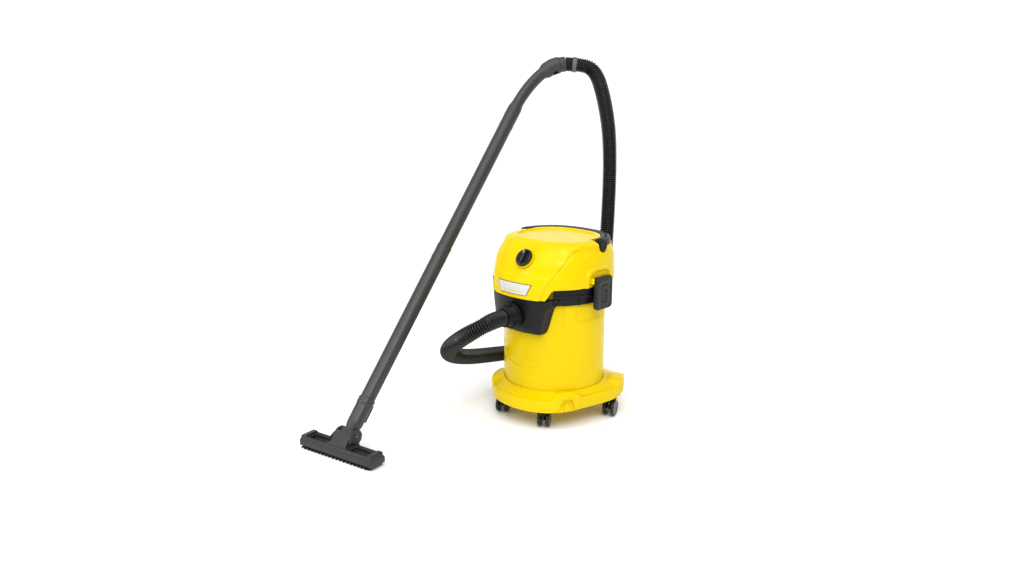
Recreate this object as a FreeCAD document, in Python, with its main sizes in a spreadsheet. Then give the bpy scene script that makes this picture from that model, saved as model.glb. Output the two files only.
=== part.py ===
"""Wet-and-dry shop vacuum with hose, wand and floor nozzle, in millimetres.

Frame: +Z up, the floor at Z = 0, the container's upright axis at X = Y = 0.
The hose inlet and the switch face -Y, the blower port faces +Y.
"""
import FreeCAD, Part
import math
import os
import re
import Sketcher
from FreeCAD import Placement, Rotation, Vector

os.makedirs("parts", exist_ok=True)
doc = FreeCAD.newDocument("shop_vacuum")

# ---------------------------------------------------------------- driving dimensions
SIZES = {
    # container and its base
    "skirt_low": 51, "skirt_high": 84, "cup_top": 101, "deck_top": 62,
    "tub_radius": 137, "tub_wall": 2.5, "tub_top": 372,
    "band_low": 333, "band_step": 351, "band_top": 377, "band_radius": 150,
    # hose inlet
    "inlet_height": 305, "inlet_face": 166, "port_radius": 24, "collar_radius": 34,
    # head
    "head_low": 379.3, "plate_thick": 3.7, "shell_wall": 3,
    "fan_radius": 62, "motor_radius": 46, "shaft_radius": 4,
    "cage_radius": 36, "cage_low": 262, "cage_wall": 2.5, "filter_radius": 52,
    "handle_pivot_y": 28, "handle_pivot_z": 477, "handle_hub": 15,
    "knob_radius": 23.5, "knob_depth": 9,
    "blower_bore": 19, "blower_radius": 24, "blower_height": 432,
    "latch_half": 33, "latch_low": 318, "latch_high": 405, "latch_pin": 2.5,
    "latch_pin_x": 158, "latch_pin_z": 397,
    # casters
    "wheel_radius": 22.5, "wheel_width": 10, "wheel_gap": 12, "caster_trail": 20,
    "stem_radius": 4,
    # hose, wand and nozzle
    "hose_radius": 21, "tube_low_radius": 19.2, "tube_top_radius": 20.7,
    "spigot_radius": 18.5, "bore_radius": 16.5, "tube_pitch": 465, "neck_length": 101,
    "pivot_height": 45, "nozzle_half": 122, "nozzle_depth": 50,
}
sheet = doc.addObject("Spreadsheet::Sheet", "Sizes")
for row, (alias, value) in enumerate(SIZES.items(), start=1):
    sheet.set(f"A{row}", alias)
    sheet.set(f"B{row}", str(value))
    sheet.setAlias(f"B{row}", alias)
doc.recompute()

pieces = []


def size(text):
    """The number that a plain expression of sheet names gives."""
    if not isinstance(text, str):
        return float(text)
    value = sheet.evalExpression(linked(text))
    return float(getattr(value, "Value", value))


def linked(text):
    """The expression with each sheet name written as Sizes.name."""
    return re.sub(r"[a-z_]+", lambda word: "Sizes." + word.group() if word.group() in SIZES
                  else word.group(), text)


def bind(obj, prop, value):
    """Sets a property, through the sheet when the value is an expression."""
    if isinstance(value, str):
        obj.setExpression(prop, linked(value))
    else:
        root = obj
        *path, last = prop.split(".")
        for step in path:
            root = getattr(root, step)
        if path:
            obj.setExpression(prop, str(value))
        else:
            setattr(root, last, value)


def placed(obj, at, turn):
    obj.Placement = Placement(Vector(0, 0, 0), turn)
    for letter, value in zip("xyz", at):
        if value != 0:
            bind(obj, f"Placement.Base.{letter}", value)
    return obj


UPRIGHT = Rotation()
ALONG_X = Rotation(Vector(0, 1, 0), 90)
ALONG_Y = Rotation(Vector(1, 0, 0), -90)


def cylinder(name, radius, height, at=(0, 0, 0), turn=UPRIGHT):
    obj = doc.addObject("Part::Cylinder", name)
    bind(obj, "Radius", radius)
    bind(obj, "Height", height)
    return placed(obj, at, turn)


def cone(name, low, high, height, at=(0, 0, 0), turn=UPRIGHT):
    obj = doc.addObject("Part::Cone", name)
    bind(obj, "Radius1", low)
    bind(obj, "Radius2", high)
    bind(obj, "Height", height)
    return placed(obj, at, turn)


def box(name, length, width, height, at=(0, 0, 0), turn=UPRIGHT):
    obj = doc.addObject("Part::Box", name)
    bind(obj, "Length", length)
    bind(obj, "Width", width)
    bind(obj, "Height", height)
    return placed(obj, at, turn)


def cut(name, base, *tools):
    obj = doc.addObject("Part::Cut", name)
    obj.Base = base
    obj.Tool = tools[0] if len(tools) == 1 else fuse(name + "_tools", *tools)
    return obj


def fuse(name, *shapes):
    obj = doc.addObject("Part::MultiFuse", name)
    obj.Shapes = list(shapes)
    return obj


def group(name, *shapes):
    """Several separate solids kept in one node."""
    obj = doc.addObject("Part::Compound", name)
    obj.Links = list(shapes)
    return obj


def rounded(name, base, radius, choose):
    """Rounds those edges of the base that the test chooses."""
    doc.recompute()
    obj = doc.addObject("Part::Fillet", name)
    obj.Base = base
    obj.Edges = [(number, radius, radius)
                 for number, edge in enumerate(base.Shape.Edges, start=1) if choose(edge)]
    return obj


def node(obj, label):
    """Registers an object as one named piece of the vacuum."""
    obj.Label = label
    pieces.append(obj)
    return obj


def solid_node(shape, label):
    """A piece whose shape is worked out with Part's own functions."""
    obj = doc.addObject("Part::Feature", "shape_" + label)
    obj.Shape = shape
    return node(obj, label)


def ring(name, outer, inner, height, at=(0, 0, 0), turn=UPRIGHT):
    return cut(name, cylinder(name + "_outer", outer, height, at, turn),
               cylinder(name + "_inner", inner, height, at, turn))


# ---------------------------------------------------------------- sketched bodies
def origin_feature(body, role):
    return next(item for item in body.Origin.OriginFeatures if item.Role == role)


def profile(body, role, points):
    """A closed sketch whose corners follow expressions of the sheet."""
    sketch = body.newObject("Sketcher::SketchObject", body.Name + "_profile")
    sketch.AttachmentSupport = [(origin_feature(body, role), "")]
    sketch.MapMode = "FlatFace"
    corners = [Vector(size(x), size(y), 0) for x, y in points]
    count = len(corners)
    for index in range(count):
        sketch.addGeometry(Part.LineSegment(corners[index], corners[(index + 1) % count]))
    for index in range(count):
        sketch.addConstraint(Sketcher.Constraint("Coincident", index, 2, (index + 1) % count, 1))
    for index, pair in enumerate(points):
        for kind, value, axis in (("DistanceX", pair[0], -2), ("DistanceY", pair[1], -1)):
            if size(value) == 0:
                sketch.addConstraint(Sketcher.Constraint("PointOnObject", index, 1, axis))
                continue
            place = sketch.addConstraint(
                Sketcher.Constraint(kind, -1, 1, index, 1, size(value)))
            if isinstance(value, str):
                sketch.setExpression(f"Constraints[{place}]", linked(value))
    return sketch


def turned(label, points):
    """A body of revolution about the upright axis, from its half section."""
    body = doc.addObject("PartDesign::Body", "body_" + label)
    sketch = profile(body, "XZ_Plane", points)
    feature = body.newObject("PartDesign::Revolution", body.Name + "_turn")
    feature.Profile = sketch
    feature.ReferenceAxis = (sketch, ["V_Axis"])
    feature.Angle = 360
    doc.recompute()
    return body


# ---------------------------------------------------------------- plan outlines
def plan_wire(radius_at, height, count=48):
    """A smooth closed curve at one height, from its radius at each bearing."""
    points = []
    for step in range(count):
        bearing = 2 * math.pi * step / count
        radius = radius_at(bearing)
        points.append(Vector(radius * math.sin(bearing), -radius * math.cos(bearing), height))
    curve = Part.BSplineCurve()
    curve.interpolate(points, PeriodicFlag=True)
    return Part.Wire([curve.toShape()])


def skirt_radius(inset):
    """Plan of the base: a lobe over each caster, waists at the sides."""
    return lambda b: (173.9 + 6.5 * math.cos(2 * b) - 8.4 * math.cos(4 * b)
                      - 8 * math.cos(b) + 10 * math.cos(3 * b)) - inset


def oval_radius(front, side, rear, power=2.4):
    """Plan of the head: a superellipse, longer towards the front."""
    def radius(bearing):
        length = front if math.cos(bearing) > 0 else rear
        across = abs(math.sin(bearing) / side) ** power
        along = abs(math.cos(bearing) / length) ** power
        return (across + along) ** (-1 / power)
    return radius


def prism(radius_at, low, high):
    return Part.Face(plan_wire(radius_at, low)).extrude(Vector(0, 0, high - low))


def solid_box(x_low, y_low, z_low, x_high, y_high, z_high):
    return Part.makeBox(x_high - x_low, y_high - y_low, z_high - z_low,
                        Vector(x_low, y_low, z_low))


def rod(radius, start, direction, length):
    return Part.makeCylinder(radius, length, Vector(*start), Vector(*direction))


# ---------------------------------------------------------------- casters
# name: pivot x, pivot y, bearing of the wheels from the pivot in degrees
CASTERS = {
    "front_right": (76, -132, 120),
    "front_left": (-76, -132, 116),
    "rear_right": (143, 84, -73),
    "rear_left": (-143, 84, 62),
}


def build_casters():
    """Four swivelling twin-wheel casters, each a fork and a pair of wheels."""
    for name, (pivot_x, pivot_y, bearing) in CASTERS.items():
        web = box(f"web_{name}", "caster_trail + 6", 7, 24, (-3, -3.5, 19))
        hood = cylinder(f"hood_{name}", 11, 6, (0, 0, 39))
        stem = cylinder(f"stem_{name}", "stem_radius", 24, (0, 0, 45))
        hole = cylinder(f"axle_hole_{name}", 3.05, 20, ("caster_trail", -10, "wheel_radius"),
                        ALONG_Y)
        reliefs = [cylinder(f"relief_{name}_{side}", "wheel_radius + 1", 20,
                            ("caster_trail", start, "wheel_radius"), ALONG_Y)
                   for side, start in (("a", 4.5), ("b", -24.5))]
        fork = cut(f"fork_{name}", fuse(f"fork_body_{name}", web, hood, stem), hole, *reliefs)
        wheels = []
        for side, start in (("a", "wheel_gap / 2"), ("b", "0 - wheel_gap / 2 - wheel_width")):
            wheel = cylinder(f"wheel_{name}_{side}", "wheel_radius", "wheel_width",
                             ("caster_trail", start, "wheel_radius"), ALONG_Y)
            wheels.append(rounded(f"tyre_{name}_{side}", wheel, 2.5,
                                  lambda edge: edge.Curve.TypeId == "Part::GeomCircle"))
        axle = cylinder(f"axle_{name}", 3, "wheel_gap", ("caster_trail", "0 - wheel_gap / 2",
                                                         "wheel_radius"), ALONG_Y)
        rolling = fuse(f"rolling_{name}", axle, *wheels)
        for obj, label in ((fork, "caster_fork_"), (rolling, "caster_wheels_")):
            obj.Placement = Placement(Vector(pivot_x, pivot_y, 0),
                                      Rotation(Vector(0, 0, 1), bearing))
            node(obj, label + name)


# ---------------------------------------------------------------- base and container
def build_chassis():
    """Hollow skirt with lobes over the casters and a cup for the container."""
    low, high, top = size("skirt_low"), size("skirt_high"), size("cup_top")
    cup = size("tub_radius") + 3.5
    wall = size("shell_wall")

    def shell(inset, drop):
        wires = [plan_wire(skirt_radius(inset), low - drop),
                 plan_wire(skirt_radius(inset), high - drop),
                 plan_wire(skirt_radius(inset + 9), high - drop + 4),
                 plan_wire(lambda b: cup - inset, top - drop)]
        return Part.makeLoft(wires, True, True)

    inside = shell(wall, wall).cut(rod(cup, (0, 0, low - 10), (0, 0, 1), top))
    base = shell(0, 0).cut(inside)
    base = base.cut(rod(size("tub_radius"), (0, 0, size("deck_top")), (0, 0, 1), 60))
    base = base.cut(rod(cup - wall, (0, 0, low - 10), (0, 0, 1), size("deck_top") - 4 - low + 10))
    for pivot_x, pivot_y, _ in CASTERS.values():
        roof = shell(0, 0).common(rod(9, (pivot_x, pivot_y, low + 0.5), (0, 0, 1), 60))
        base = base.fuse(roof)
    for pivot_x, pivot_y, _ in CASTERS.values():
        base = base.cut(rod(size("stem_radius") + 0.05, (pivot_x, pivot_y, 0), (0, 0, 1), 70))
    for side in (-1, 1):
        stub = rod(17, (side * 128, -66, low), (0, 0, 1), 46)
        holder = stub.cut(rod(14.5, (side * 128, -66, low - 1), (0, 0, 1), 44))
        base = base.fuse(holder.cut(rod(size("tub_radius"), (0, 0, 0), (0, 0, 1), 200)))
    solid_node(base.removeSplitter(), "chassis_base")


def build_container():
    turned_tub = turned("container_tub", [
        (0, "deck_top"),
        ("tub_radius - 6", "deck_top"),
        ("tub_radius", "deck_top + 6"),
        ("tub_radius", "tub_top"),
        ("tub_radius - tub_wall", "tub_top"),
        ("tub_radius - tub_wall", "deck_top + 7"),
        ("tub_radius - 7", "deck_top + tub_wall"),
        (0, "deck_top + tub_wall"),
    ])
    port = cylinder("tub_port", "port_radius + 2", 60, (0, -110, "inlet_height"),
                    Rotation(Vector(1, 0, 0), 90))
    node(cut("tub_with_port", turned_tub, port), "container_tub")
    band = turned("rim_band", [
        ("tub_radius", "band_low"),
        ("band_radius - 5", "band_low"),
        ("band_radius - 5", "band_step"),
        ("band_radius", "band_step + 4"),
        ("band_radius", "band_top"),
        ("tub_radius - 5", "band_top"),
        ("tub_radius - 5", "tub_top"),
        ("tub_radius", "tub_top"),
    ])
    keepers = [box(f"keeper_{name}", 12, 40, 5, (x, -20, 343))
               for name, x in (("right", 140), ("left", -152))]
    front = box("band_front", 184.6, 71, 60, (-92.3, -170, 320))
    band = fuse("band_with_keepers", cut("band_cut", band, front), *keepers)
    node(band, "rim_band")


def housing_front(inset):
    """Stack of plans of the inlet housing, drawing in towards its lower edge."""
    wires = []
    for height, front, side in ((244, 140, 143), (262, 155, 146), (300, 163, 150), (350, 167, 151)):
        wires.append(plan_wire(oval_radius(front - inset, side - inset, side - inset), height))
    return Part.makeLoft(wires, True, True)


def build_inlet():
    """Black housing on the container's front with the hose socket in it."""
    height = size("inlet_height")
    outline = Part.makePolygon([Vector(x, -200, z) for x, z in (
        (-92, 350), (92, 350), (92, 332), (80, 262), (62, 246), (-62, 246), (-80, 262),
        (-92, 332), (-92, 350))])
    window = Part.Face(outline).extrude(Vector(0, 120, 0))
    tub = rod(size("tub_radius"), (0, 0, 200), (0, 0, 1), 200)
    housing = housing_front(0).common(window).cut(tub)
    hollow = Part.makeBox(124, 60, 58, Vector(-62, -200, 276))
    ring_wall = rod(size("port_radius") + 8, (0, -100, height), (0, -1, 0), 80)
    hollow = housing_front(3).common(hollow).cut(ring_wall)
    hollow = hollow.cut(rod(size("tub_radius") + 3, (0, 0, 200), (0, 0, 1), 200))
    housing = housing.cut(hollow)
    housing = housing.cut(rod(size("port_radius") + 2, (0, -100, height), (0, -1, 0), 100))
    solid_node(housing, "inlet_housing")
    inward = Rotation(Vector(1, 0, 0), -90)
    sleeve = ring("socket_sleeve", "port_radius + 2", "port_radius", 41,
                  (0, "0 - inlet_face - 6", "inlet_height"), inward)
    flange = ring("socket_flange", "collar_radius", "port_radius", 4.5,
                  (0, "0 - inlet_face - 6", "inlet_height"), inward)
    node(fuse("socket", sleeve, flange), "inlet_collar")
    chute = ring("chute", "port_radius - 1", "port_radius - 3", 34,
                 (0, "0 - tub_radius + 3", "inlet_height"), inward)
    hood = box("chute_hood", 50, 2.5, 56, (-25, "0 - tub_radius + 36.5", "inlet_height - 24"))
    seat = ring("chute_seat", "port_radius + 6", "port_radius - 2", 3,
                (0, "0 - tub_radius + 6.2", "inlet_height"), inward)
    node(fuse("deflector", chute, hood, seat), "inlet_deflector")
    screws = []
    for name, x, z in (("a", -70, 340), ("b", 70, 340), ("c", -56, 256), ("d", 56, 256)):
        reach = -math.sqrt(size("tub_radius") ** 2 - x * x)
        screws.append(cylinder(f"housing_screw_{name}", 2, 10, (x, reach - 1, z), ALONG_Y))
    doc.recompute()
    node(group("housing_screw_set", *screws), "housing_screws")


# ---------------------------------------------------------------- head
HEAD_PLANS = (  # height, front, side, rear
    (352, 167, 151, 150), (380, 166, 151, 150), (400, 163, 151, 151), (425, 153, 149, 150),
    (452, 139, 146, 148), (474, 117, 140, 143), (486, 100, 136, 134), (492, 88, 118, 116))
KNOB_POINT = Vector(16, -138.6, 452)
KNOB_TILT = math.radians(38)
KNOB_NORMAL = Vector(0, -math.cos(KNOB_TILT), math.sin(KNOB_TILT))


def head_form(inset, drop):
    wires = [plan_wire(oval_radius(front - inset, side - inset, rear - inset), height - drop)
             for height, front, side, rear in HEAD_PLANS]
    return Part.makeLoft(wires, True, True)


def handle_band(outer, inner, low, high, start):
    """Horseshoe round the rear of the top, from y = start backwards."""
    band = prism(oval_radius(outer, outer, outer - 4), low, high)
    band = band.cut(prism(oval_radius(inner, inner, inner - 8), low - 1, high + 1))
    return band.common(solid_box(-200, start, low - 1, 200, 200, high + 1))


def both_sides(make):
    return make(1).fuse(make(-1))


def build_head_cover():
    """Yellow shell of the head with its groove for the carry handle."""
    wall = size("shell_wall")
    pivot_y, pivot_z = size("handle_pivot_y"), size("handle_pivot_z")
    hub = size("handle_hub")

    def hub_space(grow):
        return both_sides(lambda side: rod(hub + 1.5 + grow, (side * (116.5 - grow), pivot_y, pivot_z),
                                           (side, 0, 0), 60))

    def arm_space(side, grow):
        """Room beside the tray for the bow's arm when the bow stands up."""
        ends = sorted((side * (109.5 - grow), side * 175))
        return solid_box(ends[0], pivot_y - 18 - grow, pivot_z - grow, ends[1], pivot_y + 24, 520)

    def groove(grow):
        band = handle_band(175, 116.5 - grow, pivot_z - 2.5 - grow, 520, pivot_y - grow)
        return band.fuse(hub_space(grow)).fuse(both_sides(lambda side: arm_space(side, grow)))

    def tray(grow):
        return prism(oval_radius(78 + grow, 106 + grow, 98 + grow), 487 - grow, 520)

    cavity = head_form(wall, wall).cut(groove(wall)).cut(tray(wall))
    below = solid_box(-200, -200, 340, 200, 200, size("head_low"))
    apron = solid_box(-83, -200, 340, 83, -60, size("head_low"))
    cover = head_form(0, 0).cut(cavity).cut(below.cut(apron)).cut(groove(0)).cut(tray(0))
    cover = cover.cut(solid_box(-200, -60, 340, 200, 200, size("head_low")))
    ears = [solid_box(min(146 * side, 162 * side), y, 389, max(146 * side, 162 * side), y + 5, 404)
            for side in (-1, 1) for y in (-39.5, 34.5)]
    for ear in ears:
        cover = cover.fuse(ear.cut(head_form(0.5, 0)))
    for side in (-1, 1):
        pin = rod(size("latch_pin"), (side * size("latch_pin_x"), -50, size("latch_pin_z")),
                  (0, 1, 0), 100)
        cover = cover.cut(pin)
    cover = cover.cut(rod(4, (-130, pivot_y, pivot_z), (1, 0, 0), 260))
    cover = cover.cut(rod(size("blower_radius"), (0, 110, size("blower_height")), (0, 1, 0), 80))
    cover = cover.cut(rod(7, tuple(KNOB_POINT - KNOB_NORMAL * 20), tuple(KNOB_NORMAL), 40))
    cover = cover.cut(rod(8, (-70, 90, 400), (0, 1, 0), 80))
    solid_node(cover, "head_cover")


def build_badge():
    """Blank trapezoid plate on the front of the head."""
    outline = Part.makePolygon([Vector(x, -200, z) for x, z in (
        (-57, 392), (57, 392), (43, 362), (-43, 362), (-57, 392))])
    window = Part.Face(outline).extrude(Vector(0, 120, 0))
    skin = head_form(-1.5, 0).cut(head_form(0, 0))
    solid_node(skin.common(window), "badge_plate")


def build_head_inside():
    """Plate, seal, motor, fan housing, foam, switch and cable entry."""
    plate_top = "head_low + plate_thick"
    plate = cylinder("plate_disc", "tub_radius + 9", "plate_thick", (0, 0, "head_low"))
    eye = cylinder("plate_eye", 28, 12, (0, 0, "head_low - 4"))
    node(cut("plate", plate, eye), "head_base")
    seal = ring("gasket", "tub_radius + 2", "tub_radius - 4", 2, (0, 0, "head_low - 2"))
    node(seal, "head_gasket")
    node(turned("motor_housing", [
        (64, "head_low + plate_thick"), ("fan_radius + 8", "head_low + plate_thick"),
        ("fan_radius + 8", 410), ("motor_radius + 7", 418), ("motor_radius + 7", 466),
        (11, 466), (11, 463), ("motor_radius + 4", 463), ("motor_radius + 4", 413),
        (11, 413), (11, 410), ("fan_radius + 4", 407), ("fan_radius + 4", "head_low + plate_thick + 3"),
        (64, "head_low + plate_thick + 3")]), "motor_housing")
    stator = ring("stator_ring", "motor_radius + 4", "motor_radius - 13", 34, (0, 0, 421))
    poles = [box(f"pole_{side}", 12, 34, 30, (start, -17, 423))
             for side, start in (("right", "motor_radius - 18"), ("left", "0 - motor_radius + 6"))]
    node(fuse("stator", stator, *poles), "motor_stator")
    bearings = [ring(f"bearing_{name}", 11, "shaft_radius + 0.05", 7, (0, 0, height))
                for name, height in (("low", 408), ("high", 459))]
    node(group("bearing_pair", *bearings), "motor_bearings")
    node(ring("foam", 92, "fan_radius + 12", 31, (0, 0, plate_top)), "exhaust_foam")
    switch = Part.makeBox(30, 26, 24, Vector(-15, -13, -40))
    switch = switch.cut(Part.makeCylinder(3.1, 14, Vector(0, 0, -28)))
    body = solid_node(switch, "switch_module")
    body.Placement = Placement(KNOB_POINT, Rotation(Vector(0, 0, 1), KNOB_NORMAL))
    bore = cylinder("blower_bore_space", "blower_bore", 60, (0, 100, "blower_height"), ALONG_Y)
    pipe = cylinder("blower_pipe", "blower_radius", 42, (0, 114, "blower_height"), ALONG_Y)
    lip = cylinder("blower_lip", "blower_radius + 4", 3, (0, 153, "blower_height"), ALONG_Y)
    node(cut("blower", fuse("blower_walls", pipe, lip), bore), "blower_port")
    gland = cylinder("gland_body", 8, 30, (-70, 112, 400), ALONG_Y)
    gland_lip = cylinder("gland_lip", 11, 4, (-70, 138.5, 400), ALONG_Y)
    gland_hole = cylinder("gland_hole", 3.6, 60, (-70, 100, 400), ALONG_Y)
    node(cut("gland", fuse("gland_walls", gland, gland_lip), gland_hole), "cable_gland")
    screws = [cylinder(f"head_screw_{name}", 2.2, 14, (x, y, "head_low - 2"))
              for name, x, y in (("a", 92, -92), ("b", -92, -92), ("c", 92, 92), ("d", -92, 92))]
    node(group("head_screw_set", *screws), "head_screws")
    hook_arm = box("hook_arm", 16, 20, 5, (52, 137, 398))
    hook_tip = box("hook_tip", 16, 5, 22, (52, 152, 398))
    node(fuse("hook", hook_arm, hook_tip), "cable_hook")


def build_rotor():
    shaft = cylinder("rotor_shaft", "shaft_radius", 72, (0, 0, 392))
    node(shaft, "motor_shaft")
    core = ring("armature_core", 26, "shaft_radius", 28, (0, 0, 424))
    comm = ring("armature_ring", 12, "shaft_radius", 3, (0, 0, 452))
    node(fuse("armature", core, comm), "motor_armature")
    fan = doc.addObject("PartDesign::Body", "body_fan_impeller")
    outline = [("shaft_radius", 394), (9, 394), (9, 402), ("fan_radius - 2", 402),
               ("fan_radius - 2", 404), ("shaft_radius", 404)]
    hub = fan.newObject("PartDesign::Revolution", "fan_hub")
    sketch = profile(fan, "XZ_Plane", outline)
    hub.Profile = sketch
    hub.ReferenceAxis = (sketch, ["V_Axis"])
    blade_plan = fan.newObject("Sketcher::SketchObject", "fan_blade_plan")
    blade_plan.AttachmentSupport = [(origin_feature(fan, "XY_Plane"), "")]
    blade_plan.MapMode = "FlatFace"
    blade_plan.AttachmentOffset = Placement(Vector(0, 0, 390), Rotation())
    corners = [Vector(12, -1, 0), Vector(58, 14, 0), Vector(58, 16, 0), Vector(12, 1, 0)]
    for index in range(4):
        blade_plan.addGeometry(Part.LineSegment(corners[index], corners[(index + 1) % 4]))
    blade = fan.newObject("PartDesign::Pad", "fan_blade")
    blade.Profile = blade_plan
    blade.Length = 13
    doc.recompute()
    blades = fan.newObject("PartDesign::PolarPattern", "fan_blades")
    blades.Originals = [blade]
    blades.Axis = (blade_plan, ["N_Axis"])
    blades.Angle = 360
    blades.Occurrences = 9
    fan.Tip = blades
    node(fan, "fan_impeller")


def build_filter():
    """Slotted cage with its float, and the cartridge filter pushed over it."""
    tube = ring("cage_tube", "cage_radius", "cage_radius - cage_wall",
                "head_low - cage_low", (0, 0, "cage_low"))
    floor = cylinder("cage_floor", "cage_radius", 3, (0, 0, "cage_low"))
    flange = ring("cage_flange", 50, "cage_radius - cage_wall", 5, (0, 0, "head_low - 5"))
    seat = ring("cage_seat", "cage_radius", 20, 3, (0, 0, 355))
    slots = []
    for step in range(4):
        slot = box(f"cage_slot_{step}", 100, 10, 76)
        turn = Placement(Vector(), Rotation(Vector(0, 0, 1), 45 * step))
        slot.Placement = turn.multiply(Placement(Vector(-50, -5, 272), UPRIGHT))
        slots.append(slot)
    node(cut("cage", fuse("cage_walls", tube, floor, flange, seat), *slots), "filter_cage")
    cup = cylinder("float_wall", 28, 26, (0, 0, "cage_low + 4"))
    inside = cylinder("float_space", 26, 24, (0, 0, "cage_low + 3"))
    node(cut("float", cup, inside), "float_cup")
    pleats = doc.addObject("PartDesign::Body", "body_filter_media")
    sketch = profile(pleats, "XZ_Plane", [
        ("filter_radius - 12", 256), ("filter_radius - 8", 256),
        ("filter_radius - 8", 368), ("filter_radius - 12", 368)])
    core = pleats.newObject("PartDesign::Revolution", "filter_sleeve")
    core.Profile = sketch
    core.ReferenceAxis = (sketch, ["V_Axis"])
    plan = pleats.newObject("Sketcher::SketchObject", "filter_pleat_plan")
    plan.AttachmentSupport = [(origin_feature(pleats, "XY_Plane"), "")]
    plan.MapMode = "FlatFace"
    plan.AttachmentOffset = Placement(Vector(0, 0, 256), Rotation())
    corners = [Vector(42, -1.6, 0), Vector(52, -0.5, 0), Vector(52, 0.5, 0), Vector(42, 1.6, 0)]
    for index in range(4):
        plan.addGeometry(Part.LineSegment(corners[index], corners[(index + 1) % 4]))
    pleat = pleats.newObject("PartDesign::Pad", "filter_pleat")
    pleat.Profile = plan
    pleat.Length = 112
    doc.recompute()
    fold = pleats.newObject("PartDesign::PolarPattern", "filter_pleats")
    fold.Originals = [pleat]
    fold.Axis = (plan, ["N_Axis"])
    fold.Angle = 360
    fold.Occurrences = 48
    pleats.Tip = fold
    node(pleats, "filter_media")
    top_cap = ring("top_cap", "filter_radius + 2", "filter_radius - 14", 5.8, (0, 0, 368))
    node(top_cap, "filter_top_cap")
    bottom_cap = ring("bottom_cap", "filter_radius + 2", 9, 8, (0, 0, 248))
    node(bottom_cap, "filter_bottom_cap")
    lock_disc = cylinder("lock_disc", 18, 5, (0, 0, 242.7))
    lock_grip = box("lock_grip", 30, 5, 7, (-15, -2.5, 235.7))
    lock_stud = cylinder("lock_stud", 8.9, 14, (0, 0, 247.5))
    node(fuse("lock", lock_disc, lock_grip, lock_stud), "filter_lock")


def build_handle_and_knob():
    pivot_y, pivot_z = size("handle_pivot_y"), size("handle_pivot_z")
    hub = size("handle_hub")
    bow = handle_band(140, 119.5, pivot_z - 1.5, pivot_z + 16.5, pivot_y)
    hubs = both_sides(lambda side: rod(hub, (side * 117, pivot_y, pivot_z), (side, 0, 0), 24))
    holes = rod(4.05, (-150, pivot_y, pivot_z), (1, 0, 0), 300)
    solid_node(bow.fuse(hubs).cut(holes).removeSplitter(), "carry_handle")
    pins = [cylinder(f"handle_pin_{name}", 4, 19, (x, "handle_pivot_y", "handle_pivot_z"), ALONG_X)
            for name, x in (("right", 113.5), ("left", -132.5))]
    node(group("handle_pin_pair", *pins), "handle_pins")
    depth = size("knob_depth")
    knob = Part.makeCylinder(size("knob_radius"), depth, Vector(0, 0, 1.2))
    grip = Part.makeBox(9, 44, 6, Vector(-4.5, -22, depth + 1))
    shaft = Part.makeCylinder(3, 30, Vector(0, 0, -27))
    body = solid_node(knob.fuse(grip).fuse(shaft), "switch_knob")
    body.Placement = Placement(KNOB_POINT, Rotation(Vector(0, 0, 1), KNOB_NORMAL))


def build_latches():
    """Two latches hung from pins on the head, closing over the rim band."""
    for name, side in (("right", 1), ("left", -1)):
        start = 152.5 if side > 0 else -171.0
        slab = box(f"latch_slab_{name}", 18.5, "2 * latch_half", "latch_high - latch_low",
                   (start, "0 - latch_half", "latch_low"))
        slab = rounded(f"latch_round_{name}", slab, 9, lambda edge: abs(
            edge.Vertexes[0].Z - edge.Vertexes[-1].Z) < 0.1 and edge.Vertexes[0].Z < 330
            and abs(edge.Vertexes[0].Y - edge.Vertexes[-1].Y) < 0.1)
        relief = box(f"latch_relief_{name}", 2.5, 68, 20,
                     (start if side > 0 else start + 16, -34, 398.5))
        hollow = box(f"latch_hollow_{name}", 10, 54, 40,
                     (start if side > 0 else start + 8.5, -27, 348))
        bore = cylinder(f"latch_bore_{name}", "latch_pin + 0.06", 76,
                        (side * SIZES["latch_pin_x"], -38, "latch_pin_z"), ALONG_Y)
        node(cut(f"latch_{name}_cut", slab, relief, hollow, bore), f"latch_{name}")
    pins = [cylinder(f"latch_pin_{name}", "latch_pin", 79, (side * SIZES["latch_pin_x"], -39.5,
                                                             "latch_pin_z"), ALONG_Y)
            for name, side in (("right", 1), ("left", -1))]
    node(group("latch_pin_pair", *pins), "latch_pins")


# ---------------------------------------------------------------- wand
HEADING = 9
WAND_TILT = 44
ELBOW = Vector(-182, -564, SIZES["pivot_height"])
NOZZLE_PLACE = Placement(Vector(ELBOW.x, ELBOW.y, 0), Rotation(Vector(0, 0, 1), HEADING))
WAND_TURN = Rotation(Vector(0, 0, 1), HEADING).multiply(Rotation(Vector(1, 0, 0), -WAND_TILT))
WAND_PLACE = Placement(ELBOW, WAND_TURN)
WAND_AXIS = WAND_TURN.multVec(Vector(0, 0, 1))
CUFF_BEARING = math.radians(50)
CUFF_RISE = math.radians(-4)
CUFF_AXIS = Vector(math.sin(CUFF_BEARING) * math.cos(CUFF_RISE),
                   math.cos(CUFF_BEARING) * math.cos(CUFF_RISE), math.sin(CUFF_RISE))
GRIP_START = ELBOW + WAND_AXIS * (size("neck_length") + 2 * size("tube_pitch"))
# stations of the curved grip: distances along the wand's axis and along the cuff's axis
GRIP_ROUTE = ((0, 0), (42, 0), (92, 5), (140, 16), (180, 34), (203, 56), (210, 81))
GRIP_END = GRIP_START + WAND_AXIS * GRIP_ROUTE[-1][0] + CUFF_AXIS * GRIP_ROUTE[-1][1]
CUFF_LENGTH = 22
RING_LENGTH = 12
HOSE_END = GRIP_END + CUFF_AXIS * (CUFF_LENGTH + RING_LENGTH)


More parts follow.
